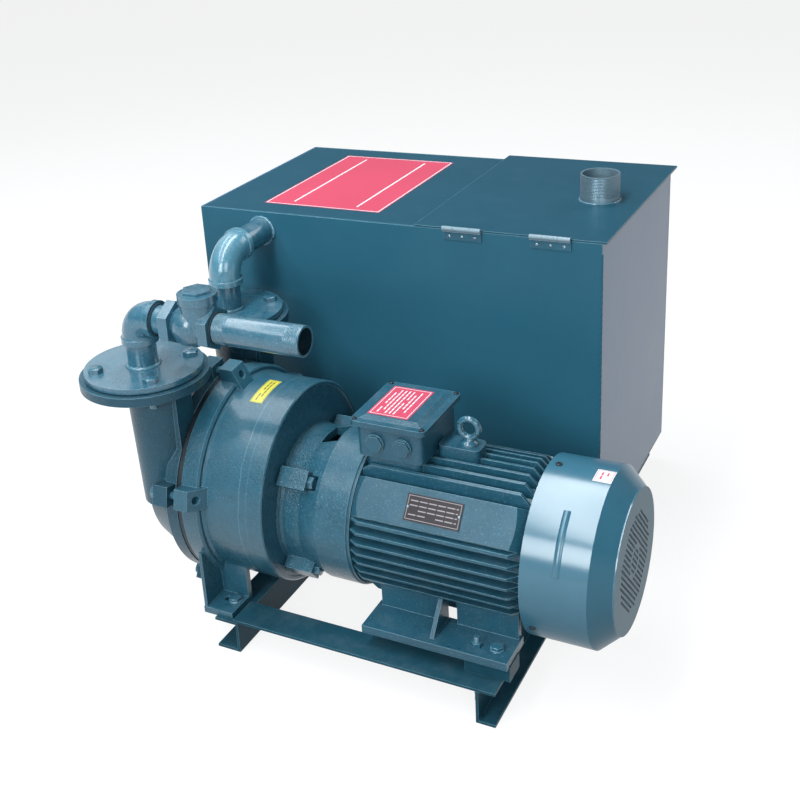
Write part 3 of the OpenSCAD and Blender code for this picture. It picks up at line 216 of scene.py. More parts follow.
def shader_group(name, inputs, outputs):
    tree = bpy.data.node_groups.new(name, "ShaderNodeTree")
    for label, kind, value in inputs:
        tree.interface.new_socket(label, in_out="INPUT", socket_type=kind).default_value = value
    for label, kind in outputs:
        tree.interface.new_socket(label, in_out="OUTPUT", socket_type=kind)
    return Tree(tree), tree.nodes.new("NodeGroupInput").outputs, tree.nodes.new("NodeGroupOutput").inputs


NUMBER, COLOUR, VECTOR = "NodeSocketFloat", "NodeSocketColor", "NodeSocketVector"
print("node helpers ready")

# %% [markdown]
# Uneven tone: sprayed enamel is never one flat colour. It could be painted on by hand, but noise serves every
# piece at once: two sizes of it, one as wide as a hand and one as a fingertip, lift and lower the colour.

# %% Uneven tone group
t, give, take = shader_group(
    "uneven_tone",
    [("Paint", COLOUR, (0.1, 0.2, 0.3, 1)), ("Amount", NUMBER, 0.3)],
    [("Color", COLOUR), ("Patch", NUMBER)],
)
place = t.add("ShaderNodeTexCoord").outputs["Object"]
wide = t.noise(place, 9.0, 4.0)
small = t.noise(place, 70.0, 3.0)
patch = t.math("ADD", t.math("MULTIPLY", wide, 0.65), t.math("MULTIPLY", small, 0.35))
swing = t.ramp(patch, 0.3, 0.7, -0.5, 0.5)
gain = t.math("ADD", t.math("MULTIPLY", swing, give["Amount"]), 1.0)
tone = t.add("ShaderNodeHueSaturation", Color=give["Paint"], Value=gain)
t.feed(take["Color"], tone.outputs["Color"])
t.feed(take["Patch"], patch)
print("group", t.tree.name)

# %% [markdown]
# Cast grain: paint over a sand casting keeps the sand's pebbled skin, which sparkles in the light. Real
# displacement would need millions of faces, so a fine noise and a coarser cell pattern are added up as a height
# for a Bump node, and the tips of the noise are given out as a mask for painted glints: pale flecks that stand
# in for that sparkle.

# %% Cast grain group
t, give, take = shader_group(
    "cast_grain",
    [("Grain mm", NUMBER, 1.6), ("Pebble", NUMBER, 0.5)],
    [("Height", NUMBER), ("Glint", NUMBER)],
)
place = t.add("ShaderNodeTexCoord").outputs["Object"]
per_metre = t.math("DIVIDE", 1000.0, give["Grain mm"])
fine = t.noise(place, per_metre, 2.0, 0.6)
cells = t.add("ShaderNodeTexVoronoi", {"feature": "SMOOTH_F1"}, Vector=place, Scale=per_metre,
              Smoothness=0.6)
pebble = t.math("SUBTRACT", 1.0, cells.outputs["Distance"])
height = t.math("ADD", fine, t.math("MULTIPLY", pebble, give["Pebble"]))
t.feed(take["Height"], height)
t.feed(take["Glint"], t.ramp(fine, 0.58, 0.72))
print("group", t.tree.name)

# %% [markdown]
# Soft edge: a real casting or bent sheet has no razor edges. A Bevel modifier would change the solids, so the
# Bevel node rounds only the normals near an edge, and the turn between them and the true normal marks the
# edges.
# There a pale colour is laid, partly as thin, worn paint and partly as a painted highlight.

# %% Soft edge group
t, give, take = shader_group(
    "soft_edge", [("Radius mm", NUMBER, 1.0)], [("Normal", VECTOR), ("Edge", NUMBER)]
)
radius = t.math("MULTIPLY", give["Radius mm"], MM)
rounded = t.add("ShaderNodeBevel", {"samples": 4}, Radius=radius).outputs["Normal"]
true_normal = t.add("ShaderNodeNewGeometry").outputs["Normal"]
turn = t.add("ShaderNodeVectorMath", {"operation": "DOT_PRODUCT"})
t.feed(turn.inputs[0], rounded)
t.feed(turn.inputs[1], true_normal)
t.feed(take["Normal"], rounded)
t.feed(take["Edge"], t.ramp(turn.outputs["Value"], 0.98, 0.8))
print("group", t.tree.name)

# %% [markdown]
# Dust and top sheen: on a shop floor, faces that look up carry a thin pale film, and the same pale colour also
# stands in as a painted sheen on tops. The upward part of the normal finds them, so no mask has to be painted,
# and noise breaks the film up. It lightens the colour and takes the gloss.

# %% Dust and top sheen group
t, give, take = shader_group("dust_and_top_sheen", [("Amount", NUMBER, 0.2)], [("Dust and sheen", NUMBER)])
place = t.add("ShaderNodeTexCoord").outputs["Object"]
normal = t.add("ShaderNodeNewGeometry").outputs["Normal"]
facing = t.add("ShaderNodeSeparateXYZ", Vector=normal).outputs["Z"]
dust_sheen_film = t.ramp(t.noise(place, 26.0, 6.0, 0.7), 0.4, 0.75)
lying = t.math("MULTIPLY", t.ramp(facing, 0.2, 0.95), dust_sheen_film)
t.feed(take["Dust and sheen"], t.math("MULTIPLY", lying, give["Amount"]))
print("group", t.tree.name)

# %% [markdown]
# Score line: a thin ring left round the casing where the parts of its mould met. It is too shallow to model, so
# it is a band about one station along the shaft, and noise makes it wander as the real one does.

# %% Score line group
t, give, take = shader_group(
    "score_line", [("Station mm", NUMBER, 0.0), ("Width mm", NUMBER, 1.0)], [("Line", NUMBER)]
)
place = t.add("ShaderNodeTexCoord").outputs["Object"]
along = t.math("MULTIPLY", t.add("ShaderNodeSeparateXYZ", Vector=place).outputs["X"], 1000.0)
wander = t.math("MULTIPLY", t.math("SUBTRACT", t.noise(place, 24.0, 5.0, 0.7), 0.5), 6.0)
away = t.math("ABSOLUTE", t.math("SUBTRACT", t.math("ADD", along, wander), give["Station mm"]))
t.feed(take["Line"], t.ramp(away, give["Width mm"], 0.1))
print("group", t.tree.name)

# %% [markdown]
# Hollow side: the inside of the fan cowl, of its holes and of the inlet pipe is painted near-black, as painted
# shade. Separate materials would need the faces picked by hand, so a rule finds them: a face is inside when it
# looks toward the axis or back along it, or lies in the grille and looks sideways. The flank mask is full on
# the drum and fades on the end plate and underneath, where the coat is thin.

# %% Hollow side group
t, give, take = shader_group(
    "hollow_side",
    [("Axis Y", NUMBER, 0.0), ("Axis Z", NUMBER, 0.0), ("Grille mm", NUMBER, 60.0)],
    [("Inside", NUMBER), ("Flank", NUMBER)],
)
place = t.add("ShaderNodeTexCoord").outputs["Object"]
spot = t.add("ShaderNodeSeparateXYZ", Vector=place).outputs
normal = t.add("ShaderNodeNewGeometry").outputs["Normal"]
look = t.add("ShaderNodeSeparateXYZ", Vector=normal).outputs
off_y = t.math("SUBTRACT", spot["Y"], give["Axis Y"])
off_z = t.math("SUBTRACT", spot["Z"], give["Axis Z"])
outward_y = t.math("MULTIPLY", off_y, look["Y"])
outward = t.math("ADD", outward_y, t.math("MULTIPLY", off_z, look["Z"]))
to_axis = t.math("LESS_THAN", outward, -0.002)
inward = t.math("MAXIMUM", to_axis, t.math("LESS_THAN", look["X"], -0.5))
square_y = t.math("MULTIPLY", off_y, off_y)
away = t.math("SQRT", t.math("ADD", square_y, t.math("MULTIPLY", off_z, off_z)))
in_grille = t.math("LESS_THAN", away, t.math("MULTIPLY", give["Grille mm"], MM))
hole_wall = t.math("MULTIPLY", in_grille, t.math("LESS_THAN", look["X"], 0.5))
t.feed(take["Inside"], t.math("MAXIMUM", inward, hole_wall))
drum = t.ramp(look["X"], 0.95, 0.25)
t.feed(take["Flank"], t.math("MULTIPLY", drum, t.ramp(look["Z"], -0.5, 0.35, 0.15)))
print("group", t.tree.name)

# %% [markdown]
# Above level: hands and tools rub the paint off what stands proud, such as the knuckles of the hinges. A height
# with a ragged edge marks them, which is simpler than a mask and stays right when the tank grows.

# %% Above level group
t, give, take = shader_group(
    "above_level", [("Level mm", NUMBER, 0.0), ("Soft mm", NUMBER, 1.0)], [("Above", NUMBER)]
)
place = t.add("ShaderNodeTexCoord").outputs["Object"]
height = t.math("MULTIPLY", t.add("ShaderNodeSeparateXYZ", Vector=place).outputs["Z"], 1000.0)
ragged = t.math("ADD", height, t.math("MULTIPLY", t.noise(place, 300.0), give["Soft mm"]))
top_edge = t.math("ADD", give["Level mm"], give["Soft mm"])
t.feed(take["Above"], t.ramp(ragged, give["Level mm"], top_edge))
print("group", t.tree.name)

# %% [markdown]
# Printed face: labels and plates keep a printed frame and ruled rows, with nothing written on them. A picture
# could carry the print, but lines made by sums stay sharp at any distance. The group works in millimetres on
# the piece's own map, so lines keep their width on every label.

# %% Printed face group
t, give, take = shader_group(
    "printed_face",
    [("Width mm", NUMBER, 60.0), ("Height mm", NUMBER, 40.0), ("Inset mm", NUMBER, 3.0),
     ("Line mm", NUMBER, 0.8), ("Row mm", NUMBER, 6.0), ("Block mm", NUMBER, 12.0), ("Bar", NUMBER, 0.17),
     ("Margin mm", NUMBER, 8.0)],
    [("Frame", NUMBER), ("Rows", NUMBER)],
)
spot = t.add("ShaderNodeSeparateXYZ", Vector=t.add("ShaderNodeTexCoord").outputs["UV"]).outputs
across = t.math("MULTIPLY", spot["X"], give["Width mm"])
along = t.math("MULTIPLY", spot["Y"], give["Height mm"])
side = t.math("MINIMUM", across, t.math("SUBTRACT", give["Width mm"], across))
end = t.math("MINIMUM", along, t.math("SUBTRACT", give["Height mm"], along))
half_line = t.math("MULTIPLY", give["Line mm"], 0.5)
nearest = t.math("MINIMUM", side, end)
t.feed(take["Frame"], t.math("COMPARE", nearest, give["Inset mm"], half_line))
row = t.math("DIVIDE", t.math("SUBTRACT", along, give["Margin mm"]), give["Row mm"])
step = t.math("DIVIDE", t.math("SUBTRACT", across, give["Margin mm"]), give["Block mm"])
bar = t.math("COMPARE", t.math("FRACT", row), 0.5, give["Bar"])
bar = t.math("MULTIPLY", bar, t.math("LESS_THAN", t.math("FRACT", step), 0.85))
cell = t.add("ShaderNodeCombineXYZ", X=t.math("FLOOR", step), Y=t.math("FLOOR", row)).outputs["Vector"]
chance = t.add("ShaderNodeTexWhiteNoise", {"noise_dimensions": "2D"}, Vector=cell).outputs["Value"]
bar = t.math("MULTIPLY", bar, t.math("GREATER_THAN", chance, 0.16))
inside = t.math("GREATER_THAN", nearest, give["Margin mm"])
t.feed(take["Rows"], t.math("MULTIPLY", bar, inside))
print("group", t.tree.name)

# %% [markdown]
# The photograph's ground is plain white. White paint would throw much light up on the set, so the floor is
# painted light grey, and a Light Path node lifts it to white for the camera and for mirrors alone. The shadow
# stays in its paint. It is one wide sheet whose far edges stand up as a low backdrop.


# %% Floor
def new_material(name):
    material = bpy.data.materials.new(name)
    material.use_nodes = True
    return material, Tree(material.node_tree), material.node_tree.nodes["Principled BSDF"]


def placed(tree, group, **values):
    made = tree.tree.nodes.new("ShaderNodeGroup")
    made.node_tree = bpy.data.node_groups[group]
    for name, value in values.items():
        tree.feed(made.inputs[name.replace("_", " ")], value)
    return made.outputs


FLOOR_HALF = 40
FLOOR_PAINT = (0.2, 0.203, 0.205, 1)
FLOOR_DROP = 0.5 * MM
FLOOR_LIFT = 0.85
BACKDROP = 4
floor_mesh = bpy.data.meshes.new("floor")
SIGNS = ((-1, -1), (1, -1), (1, 1), (-1, 1))
corners = [(x * FLOOR_HALF, y * FLOOR_HALF, z) for z in (0, BACKDROP) for x, y in SIGNS]
walls = [(i, i + 4, (i + 1) % 4 + 4, (i + 1) % 4) for i in range(4)]
floor_mesh.from_pydata(corners, [], [(0, 1, 2, 3)] + walls)
floor = bpy.data.objects.new("floor", floor_mesh)
bpy.context.scene.collection.objects.link(floor)
floor.location.z = -FLOOR_DROP
floor_paint, tree, shader = new_material("pale_floor")
tone = placed(tree, "uneven_tone", Paint=FLOOR_PAINT, Amount=0.02)
tree.feed(shader.inputs["Base Color"], tone["Color"])
ray = tree.add("ShaderNodeLightPath").outputs
seen = tree.math("MAXIMUM", ray["Is Camera Ray"], ray["Is Glossy Ray"])
seen = tree.math("MAXIMUM", seen, ray["Is Transmission Ray"])
tree.feed(shader.inputs["Emission Strength"], tree.math("MULTIPLY", seen, FLOOR_LIFT))
shader.inputs["Emission Color"].default_value = (1, 1, 1, 1)
shader.inputs["Roughness"].default_value = 0.9
shader.inputs["Specular IOR Level"].default_value = 0.1
floor_mesh.materials.append(floor_paint)
print("floor", 2 * FLOOR_HALF, "m wide")

# %% [markdown]
# The set is sprayed in one teal enamel, which looks different on each surface: pebbled on castings, like
# orange peel on sheet, smooth on pipes. One recipe with different values gives them all, so a change to the
# recipe reaches every piece. The Principled shader stays in the material, fed by the groups.


# %% Enamel finishes
# The pale dust colour is partly real dust and partly painted sheen on upward faces.
DUST_AND_TOP_SHEEN = srgb(150, 165, 172)
# The pale edge colour is partly thin, worn paint and partly painted highlight; the score lines use it too.
PALE_MARK_AND_HIGHLIGHT = srgb(136, 182, 198)
GLINT = srgb(160, 192, 206)


def enamel(name, paint, grain_mm, bump_mm, gloss, edge_mm=1.0, uneven=0.3, dust_and_sheen=0.1, edge=0.35, pebble=0.5,
           shine=0.5, coat=0.25, coat_ior=1.5, painted_glint=0.0, touches=(), coat_on=None):
    """Teal enamel: grain_mm and bump_mm are the grain's width and depth, gloss is the coat's roughness.

    Each touch is a group with its values, the mask it gives, the colour it lays down and how much. coat_on is
    a group with its values and the mask that says where the clear coat lies.
    """
    material, tree, shader = new_material(name)
    tone = placed(tree, "uneven_tone", Paint=paint, Amount=uneven)
    grain = placed(tree, "cast_grain", Grain_mm=grain_mm, Pebble=pebble)
    rim = placed(tree, "soft_edge", Radius_mm=edge_mm)
    dust_sheen_film = placed(tree, "dust_and_top_sheen", Amount=dust_and_sheen)
    # Pale edges: partly worn paint, partly painted highlight.
    thin = tree.math("MULTIPLY", rim["Edge"], edge)
    colour = tree.mix(thin, tone["Color"], PALE_MARK_AND_HIGHLIGHT)
    # Pale film on upward faces: partly settled dust, partly painted sheen.
    colour = tree.mix(dust_sheen_film["Dust and sheen"], colour, DUST_AND_TOP_SHEEN)
    # Painted glints: pale flecks on the grain stand in for sparkle in the light.
    if painted_glint:
        colour = tree.mix(tree.math("MULTIPLY", grain["Glint"], painted_glint), colour, GLINT)
    for group, values, output, ink, amount in touches:
        mask = placed(tree, group, **values)[output]
        colour = tree.mix(tree.math("MULTIPLY", mask, amount), colour, ink)
    tree.feed(shader.inputs["Base Color"], colour)
    swing = 0.18 * uneven
    patchy = tree.ramp(tone["Patch"], 0.3, 0.7, gloss - swing, gloss + swing)
    tree.feed(shader.inputs["Roughness"], tree.math("ADD", patchy, dust_sheen_film["Dust and sheen"]))
    bump = tree.add("ShaderNodeBump", Height=grain["Height"], Distance=bump_mm * MM, Normal=rim["Normal"])
    bump.inputs["Strength"].default_value = 1.0
    tree.feed(shader.inputs["Normal"], bump.outputs["Normal"])
    shader.inputs["Specular IOR Level"].default_value = shine
    shader.inputs["Coat Weight"].default_value = coat
    if coat_on:
        group, values, output = coat_on
        tree.feed(shader.inputs["Coat Weight"], placed(tree, group, **values)[output])
    shader.inputs["Coat Roughness"].default_value = gloss * 0.6
    shader.inputs["Coat IOR"].default_value = coat_ior
    return material


print("enamel recipe ready")

# %% [markdown]
# The castings of the pump keep a coarse skin, and the lantern carries the most painted glints. The end cover is
# painted darker than the casing, as painted shade. The motor is cast finer, and its fins get paler edges,
# partly rubbed paint and partly painted highlight. The two score lines on the casing are touches laid over the
# recipe.

# %% Cast enamels
CAST_TEAL = srgb(42, 94, 114)
# The end cover's teal is darker than the casing's: painted shade.
COVER_SHADE_TEAL = srgb(32, 76, 94)
MOTOR_TEAL = srgb(36, 86, 106)
SCORES = ((92, 1.2, 0.25), (104, 1.0, 0.15))
cast = {"grain_mm": 2.4, "bump_mm": 0.8, "gloss": 0.3, "edge_mm": 1.8, "edge": 0.7, "shine": 0.3,
        "dust_and_sheen": 0.15}
cover_shade_paint = enamel("cover_shade_enamel", COVER_SHADE_TEAL, painted_glint=0.1, coat=0.1, **cast)
lantern_paint = enamel("lantern_enamel", CAST_TEAL, painted_glint=0.28, coat=0.25, **cast)
scores = []
for beyond, width, amount in SCORES:
    values = {"Station_mm": CASING.x / MM + beyond, "Width_mm": width}
    scores.append(("score_line", values, "Line", PALE_MARK_AND_HIGHLIGHT, amount))
casing_paint = enamel("casing_enamel", CAST_TEAL, painted_glint=0.1, coat=0.5, touches=scores, **cast)
motor_paint = enamel("motor_enamel", MOTOR_TEAL, 2.2, 0.32, 0.32, edge_mm=1.3, edge=0.9, shine=0.35, coat=0.2,
                     painted_glint=0.2)
print("score lines", len(scores))

# %% [markdown]
# The cowl is drawn sheet with a glossier coat than anything else, and it is painted near-black inside as
# painted shade, so that its holes read as holes. The tank is plain sheet; its top and the lid are painted
# darker, as painted
# shade. Its ends have more gloss: seen along the face they mirror the white floor and look pale, and they are
# also painted bluer than the rest, as a painted reflection. The hinges are rubbed at the knuckles.

# %% Sheet enamels
TEAL = srgb(45, 99, 120)
COWL_TEAL = srgb(56, 110, 132)
# The teal of the tank top and the lid is darker than the front's: painted shade.
TOP_SHADE_TEAL = srgb(34, 81, 100)
# The tank ends' teal is bluer than the rest: a painted reflection.
END_REFLECTION_TEAL = srgb(46, 100, 142)
SKID_TEAL = srgb(34, 76, 92)
# Near-black for the inside of the cowl, its holes and the inlet bore: painted shade.
HOLLOW_SHADE = srgb(8, 9, 10)
RUBBED = srgb(190, 208, 216)
KNUCKLE_DROP_MM = 1.5
hollow = {"Axis_Y": SHAFT.y, "Axis_Z": SHAFT.z, "Grille_mm": 72}
# The cowl's inside and its hole walls get the near-black painted shade.
inside = [("hollow_side", hollow, "Inside", HOLLOW_SHADE, 1.0)]
cowl_paint = enamel("cowl_enamel", COWL_TEAL, 3.0, 0.02, 0.34, edge_mm=1.0, uneven=0.1, dust_and_sheen=0.02, edge=0.4,
                    pebble=0.1, shine=0.12, coat_ior=1.65, touches=inside,
                    coat_on=("hollow_side", hollow, "Flank"))
sheet = {"grain_mm": 3.0, "bump_mm": 0.03, "gloss": 0.3, "edge_mm": 1.4, "uneven": 0.06, "dust_and_sheen": 0.02,
         "edge": 0.9, "pebble": 0.15, "shine": 0.15, "coat": 0.0}
tank_paint = enamel("tank_enamel", TEAL, **sheet)
# The tank top and the lid are painted darker than the front, as painted shade.
top_shade_paint = enamel("tank_top_shade_enamel", TOP_SHADE_TEAL, **sheet)
# The tank ends are painted bluer than the other panels, as a painted reflection.
end_reflection_paint = enamel("tank_end_reflection_enamel", END_REFLECTION_TEAL, 3.0, 0.06, 0.38, edge_mm=1.0, uneven=0.1, dust_and_sheen=0.05, pebble=0.2,
                   shine=0.4, coat=0.3)
rub_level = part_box("tank_front")[1].z / MM - KNUCKLE_DROP_MM
rubbed = {"Level_mm": rub_level, "Soft_mm": KNUCKLE_DROP_MM}
knuckles = [("above_level", rubbed, "Above", RUBBED, 0.4)]
hinge_paint = enamel("hinge_enamel", TEAL, 1.4, 0.08, 0.34, edge_mm=0.6, edge=0.6, shine=0.2, touches=knuckles)
skid_paint = enamel("skid_enamel", SKID_TEAL, 2.2, 0.16, 0.34, edge_mm=1.0, edge=0.8, shine=0.08, coat=0.0)
print("hinges rubbed above", round(rub_level, 1), "mm")

# %% [markdown]
# Pipes, fittings, bolts and weld beads are smooth and round, and carry a full clear coat that draws thin bright
# lines along them. The discharge elbow is painted lighter than the other pipes, as painted light. The inlet
# pipe's bore is painted dark as painted shade, by the same rule as the cowl.

# %% Pipe and bolt enamels
PIPE_TEAL = srgb(48, 102, 124)
# The discharge elbow's teal is lighter than the other pipes': painted light.
ELBOW_LIT_TEAL = srgb(80, 138, 160)
WELD_TEAL = srgb(84, 134, 154)
pipe = {"grain_mm": 2.4, "bump_mm": 0.2, "gloss": 0.28, "edge_mm": 1.2, "edge": 0.9, "dust_and_sheen": 0.3, "coat": 1.0,
        "painted_glint": 0.3}
pipe_paint = enamel("pipe_enamel", PIPE_TEAL, **pipe)
elbow_lit_paint = enamel("elbow_lit_enamel", ELBOW_LIT_TEAL, **pipe)
inlet_at = middle("inlet_pipe")
bore = {"Axis_Y": inlet_at.y, "Axis_Z": inlet_at.z, "Grille_mm": 0}
# The inlet pipe's bore is darkened as painted shade.
bore_shade = [("hollow_side", bore, "Inside", HOLLOW_SHADE, 0.8)]
inlet_paint = enamel("inlet_enamel", PIPE_TEAL, touches=bore_shade, **pipe)
bolt_paint = enamel("bolt_enamel", TEAL, 1.4, 0.12, 0.25, edge_mm=1.0, edge=1.0, coat=1.0)
weld_paint = enamel("weld_enamel", WELD_TEAL, 1.2, 0.2, 0.2, edge_mm=0.8, edge=0.6, coat=1.0)
print("enamels", [m.name for m in bpy.data.materials if m.name.endswith("enamel")])

# %% [markdown]
# The inner pieces and the few bare ones are steel, bronze, copper, rubber and plastic. Flat colours would look
# like toys when the lid or a housing is taken off, so one recipe gives each fine tool marks and patchy gloss.


# %% Bare finishes
def bare(name, colour, metal, gloss, marks=0.06, mark_scale=900.0):
    """A bare finish with tool marks in mm and patchy roughness about gloss."""
    material, tree, shader = new_material(name)
    tone = placed(tree, "uneven_tone", Paint=colour, Amount=0.4)
    rim = placed(tree, "soft_edge", Radius_mm=0.5)
    tree.feed(shader.inputs["Base Color"], tone["Color"])
    tree.feed(shader.inputs["Roughness"], tree.ramp(tone["Patch"], 0.3, 0.7, gloss - 0.08, gloss + 0.1))
    place = tree.add("ShaderNodeTexCoord").outputs["Object"]
    lines = tree.noise(place, mark_scale, 2.0)
    bump = tree.add("ShaderNodeBump", Height=lines, Distance=marks * MM, Normal=rim["Normal"])
    tree.feed(shader.inputs["Normal"], bump.outputs["Normal"])
    shader.inputs["Metallic"].default_value = metal
    return material


steel = bare("turned_steel", srgb(160, 163, 166), 1.0, 0.32)
# Dark steel; on the shaft and seal head inside the lantern its darkness is also painted shade.
shaded_dark_steel = bare("dark_shaded_steel", srgb(58, 66, 72), 0.7, 0.45)
zinc = bare("zinc_steel", srgb(150, 172, 186), 1.0, 0.3)
vent_steel = bare("vent_steel", srgb(124, 152, 166), 0.55, 0.42)
bronze = bare("cast_bronze", srgb(150, 112, 60), 0.9, 0.4)
copper = bare("wound_copper", srgb(150, 84, 44), 0.6, 0.45)
rubber = bare("black_rubber", srgb(24, 26, 28), 0.0, 0.6)
sealed = bare("painted_seal", srgb(26, 50, 62), 0.0, 0.5)
plastic = bare("fan_plastic", srgb(30, 34, 38), 0.0, 0.5)
dark_plate = bare("dark_plate", srgb(36, 28, 34), 0.2, 0.35)
print("bare finishes", len(bpy.data.materials))

# %% [markdown]
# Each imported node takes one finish. The finishes could be set piece by piece, but one table that names the
# nodes of every finish is easier to read, and what was forgotten is printed.

# %% Finishes on the nodes
FINISHES = {
    cover_shade_paint: ["end_cover"],
    lantern_paint: ["lantern"],
    casing_paint: ["pump_casing"],
    motor_paint: ["motor_frame", "fan_shield", "terminal_box", "terminal_lid", "cable_plugs"],
    tank_paint: ["tank_front", "tank_back", "tank_bottom", "tank_baffle"],
    top_shade_paint: ["tank_top", "lid"],
    end_reflection_paint: ["tank_ends"],
    skid_paint: ["left_channel", "right_angle", "front_rail", "rear_rail", "rear_pad", "foot_spacers"],
    pipe_paint: ["suction_flange", "discharge_flange", "suction_elbow", "suction_nipple", "valve_body",
                 "valve_bonnet", "discharge_pipe", "water_pipe"],
    elbow_lit_paint: ["discharge_elbow"],
    inlet_paint: ["inlet_pipe"],
    cowl_paint: ["cowl"],
    hinge_paint: ["hinge_leaves", "lid_leaves"],
    bolt_paint: ["foot_bolts", "jack_screws", "cover_bolts", "lantern_bolts", "flange_bolts", "eyebolt",
                 "hinge_screws", "cover_screws"],
    steel: ["rotor_core", "stator_core", "bearing_outers", "bearing_inners", "ball_cages"],
    shaded_dark_steel: ["port_plate", "shaft", "seal_head"],
    vent_steel: ["vent_pipe"],
    bronze: ["impeller", "valve_flap"],
    copper: ["windings"],
    sealed: ["seal_rings"],
    rubber: ["flange_gaskets", "cover_gaskets", "seal_seat"],
    plastic: ["fan"],
    dark_plate: ["nameplate"],
}
for finish, names in FINISHES.items():
    for name in names:
        NODES[name].material_slots[0].material = finish
print("without a finish:", sorted(set(NODES) - {n for names in FINISHES.values() for n in names}))

# %% [markdown]
# The small pieces could be built from modifiers, but most of them are rings of points in a row: beads, threads,
# bolt heads, rivets. One loft serves them all: the rings are joined one to the next and capped at both ends.


# %% Mesh helpers
def add_piece(name, build, finish, body="base", sharp_deg=35):
    """One mesh piece, filled by build(work), with its finish, riding on a body."""
    work = bmesh.new()
    build(work)
    bmesh.ops.recalc_face_normals(work, faces=work.faces)
    mesh = bpy.data.meshes.new(name)
    work.to_mesh(mesh)
    work.free()
    mesh.materials.append(finish)
    mesh.shade_smooth()
    mesh.set_sharp_from_angle(angle=math.radians(sharp_deg))
    made = bpy.data.objects.new(name, mesh)
    bpy.context.scene.collection.objects.link(made)
    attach(made, body)
    return made


def loft(work, rings, closed=False):
    """Joins rings of points, each to the next. An open loft is capped at both ends."""
    rows = [[work.verts.new(p) for p in ring] for ring in rings]
    for first, second in zip(rows, rows[1:] + (rows[:1] if closed else [])):
        for i in range(len(first)):
            work.faces.new((first[i - 1], first[i], second[i], second[i - 1]))
    if not closed:
        work.faces.new(rows[0])
        work.faces.new(rows[-1])


def side_axes(axis):
    """Two directions square to an axis and to each other."""
    axis = Vector(axis).normalized()
    other = Vector((0, 0, 1)) if abs(axis.z) < 0.9 else Vector((1, 0, 0))
    first = axis.cross(other).normalized()
    return first, axis.cross(first)


def circle(at, axis, radius, count):
    first, second = side_axes(axis)
    turns = [2 * math.pi * i / count for i in range(count)]
    return [at + radius * (math.cos(a) * first + math.sin(a) * second) for a in turns]


print("mesh helpers ready")

# %% [markdown]
# The risers, the discharge pipe, the vent and the skid are welded, and a weld bead is a soft rope of metal with
# ripples across it, one for each step of the torch. A bump map would leave its outline straight, so it is swept
# along its path as small rings whose radius swells and shrinks, with a little seeded unevenness.


# %% Weld beads
RIPPLE = 3.2 * MM
BEAD_SIDES = 8
spread = random.Random(7)


def bead(work, path, radius, closed=False):
    rings = []
    for i, point in enumerate(path):
        ahead = path[(i + 1) % len(path)] if closed or i + 1 < len(path) else point
        behind = path[i - 1] if closed or i else point
        swell = radius * (1 + 0.16 * math.sin(2.1 * i) + spread.uniform(-0.1, 0.1))
        rings.append(circle(point, ahead - behind, swell, BEAD_SIDES))
    loft(work, rings, closed)


def ring_path(at, axis, radius):
    return circle(at, axis, radius, round(2 * math.pi * radius / RIPPLE))


def line_path(start, end):
    steps = max(2, round((end - start).length / RIPPLE))
    return [start.lerp(end, i / steps) for i in range(steps + 1)]


def weld(name, paths, radius_mm, body="base", finish=None):
    """One piece of several beads. A path is (points, closed)."""

    def build(work):
        for points, closed in paths:
            bead(work, points, radius_mm * MM, closed)

    return add_piece(name, build, finish or weld_paint, body, sharp_deg=80)


PLATE_T = 8 * MM
SEAM_DROP = 14 * MM
RAIL_BEAD = 40 * MM
tank_low, tank_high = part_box("tank_front")
pipe_low, pipe_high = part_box("discharge_pipe")
PIPE_R = (pipe_high.z - pipe_low.z) / 2
flange_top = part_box("flange_gaskets")[1].z + PLATE_T

risers = []
for name in ("suction_flange", "discharge_flange"):
    at = middle(name)
    at.z = flange_top + 1 * MM
    risers.append((ring_path(at, UP, PIPE_R + 1.5 * MM), True))
weld("riser_welds", risers, 2.6)

at = middle("discharge_pipe")
at.y = tank_low.y - 1 * MM
weld("discharge_weld", [(ring_path(at, Vector((0, 1, 0)), PIPE_R + 1 * MM), True)], 2.8)

corner = Vector((tank_high.x, tank_low.y, tank_low.z))
seam_top = Vector((corner.x, corner.y, tank_high.z - SEAM_DROP))
weld("tank_corner_weld", [(line_path(corner, seam_top), False)], 1.7, finish=tank_paint)
at = middle("vent_pipe")
at.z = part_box("lid")[1].z
vent_low, vent_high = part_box("vent_pipe")
VENT_R = (vent_high.x - vent_low.x) / 2
weld("vent_weld", [(ring_path(at, UP, VENT_R + 0.6 * MM), True)], 1.5, body="lid")

rail_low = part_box("front_rail")[0]
angle_low, angle_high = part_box("right_angle")
joint = Vector((angle_low.x, rail_low.y + 3 * MM, angle_high.z))
along_rail = line_path(joint, joint + Vector((0, RAIL_BEAD, 0)))
down_angle = line_path(joint, joint - UP * SEAM_DROP)
weld("rail_welds", [(along_rail, False), (down_angle, False)], 1.8)
print("welds made")

# %% [markdown]
# The inlet pipe and the vent end in bare pipe threads, a groove that winds round the pipe. Carving it with a
# Boolean is slow and leaves poor faces, so the pipe is lofted from many rings whose radius follows the thread's
# saw-tooth, turned a little further at every step along the pipe.


# %% Threaded pipes
RING_POINTS = 56
LIP = 0.96 * MM


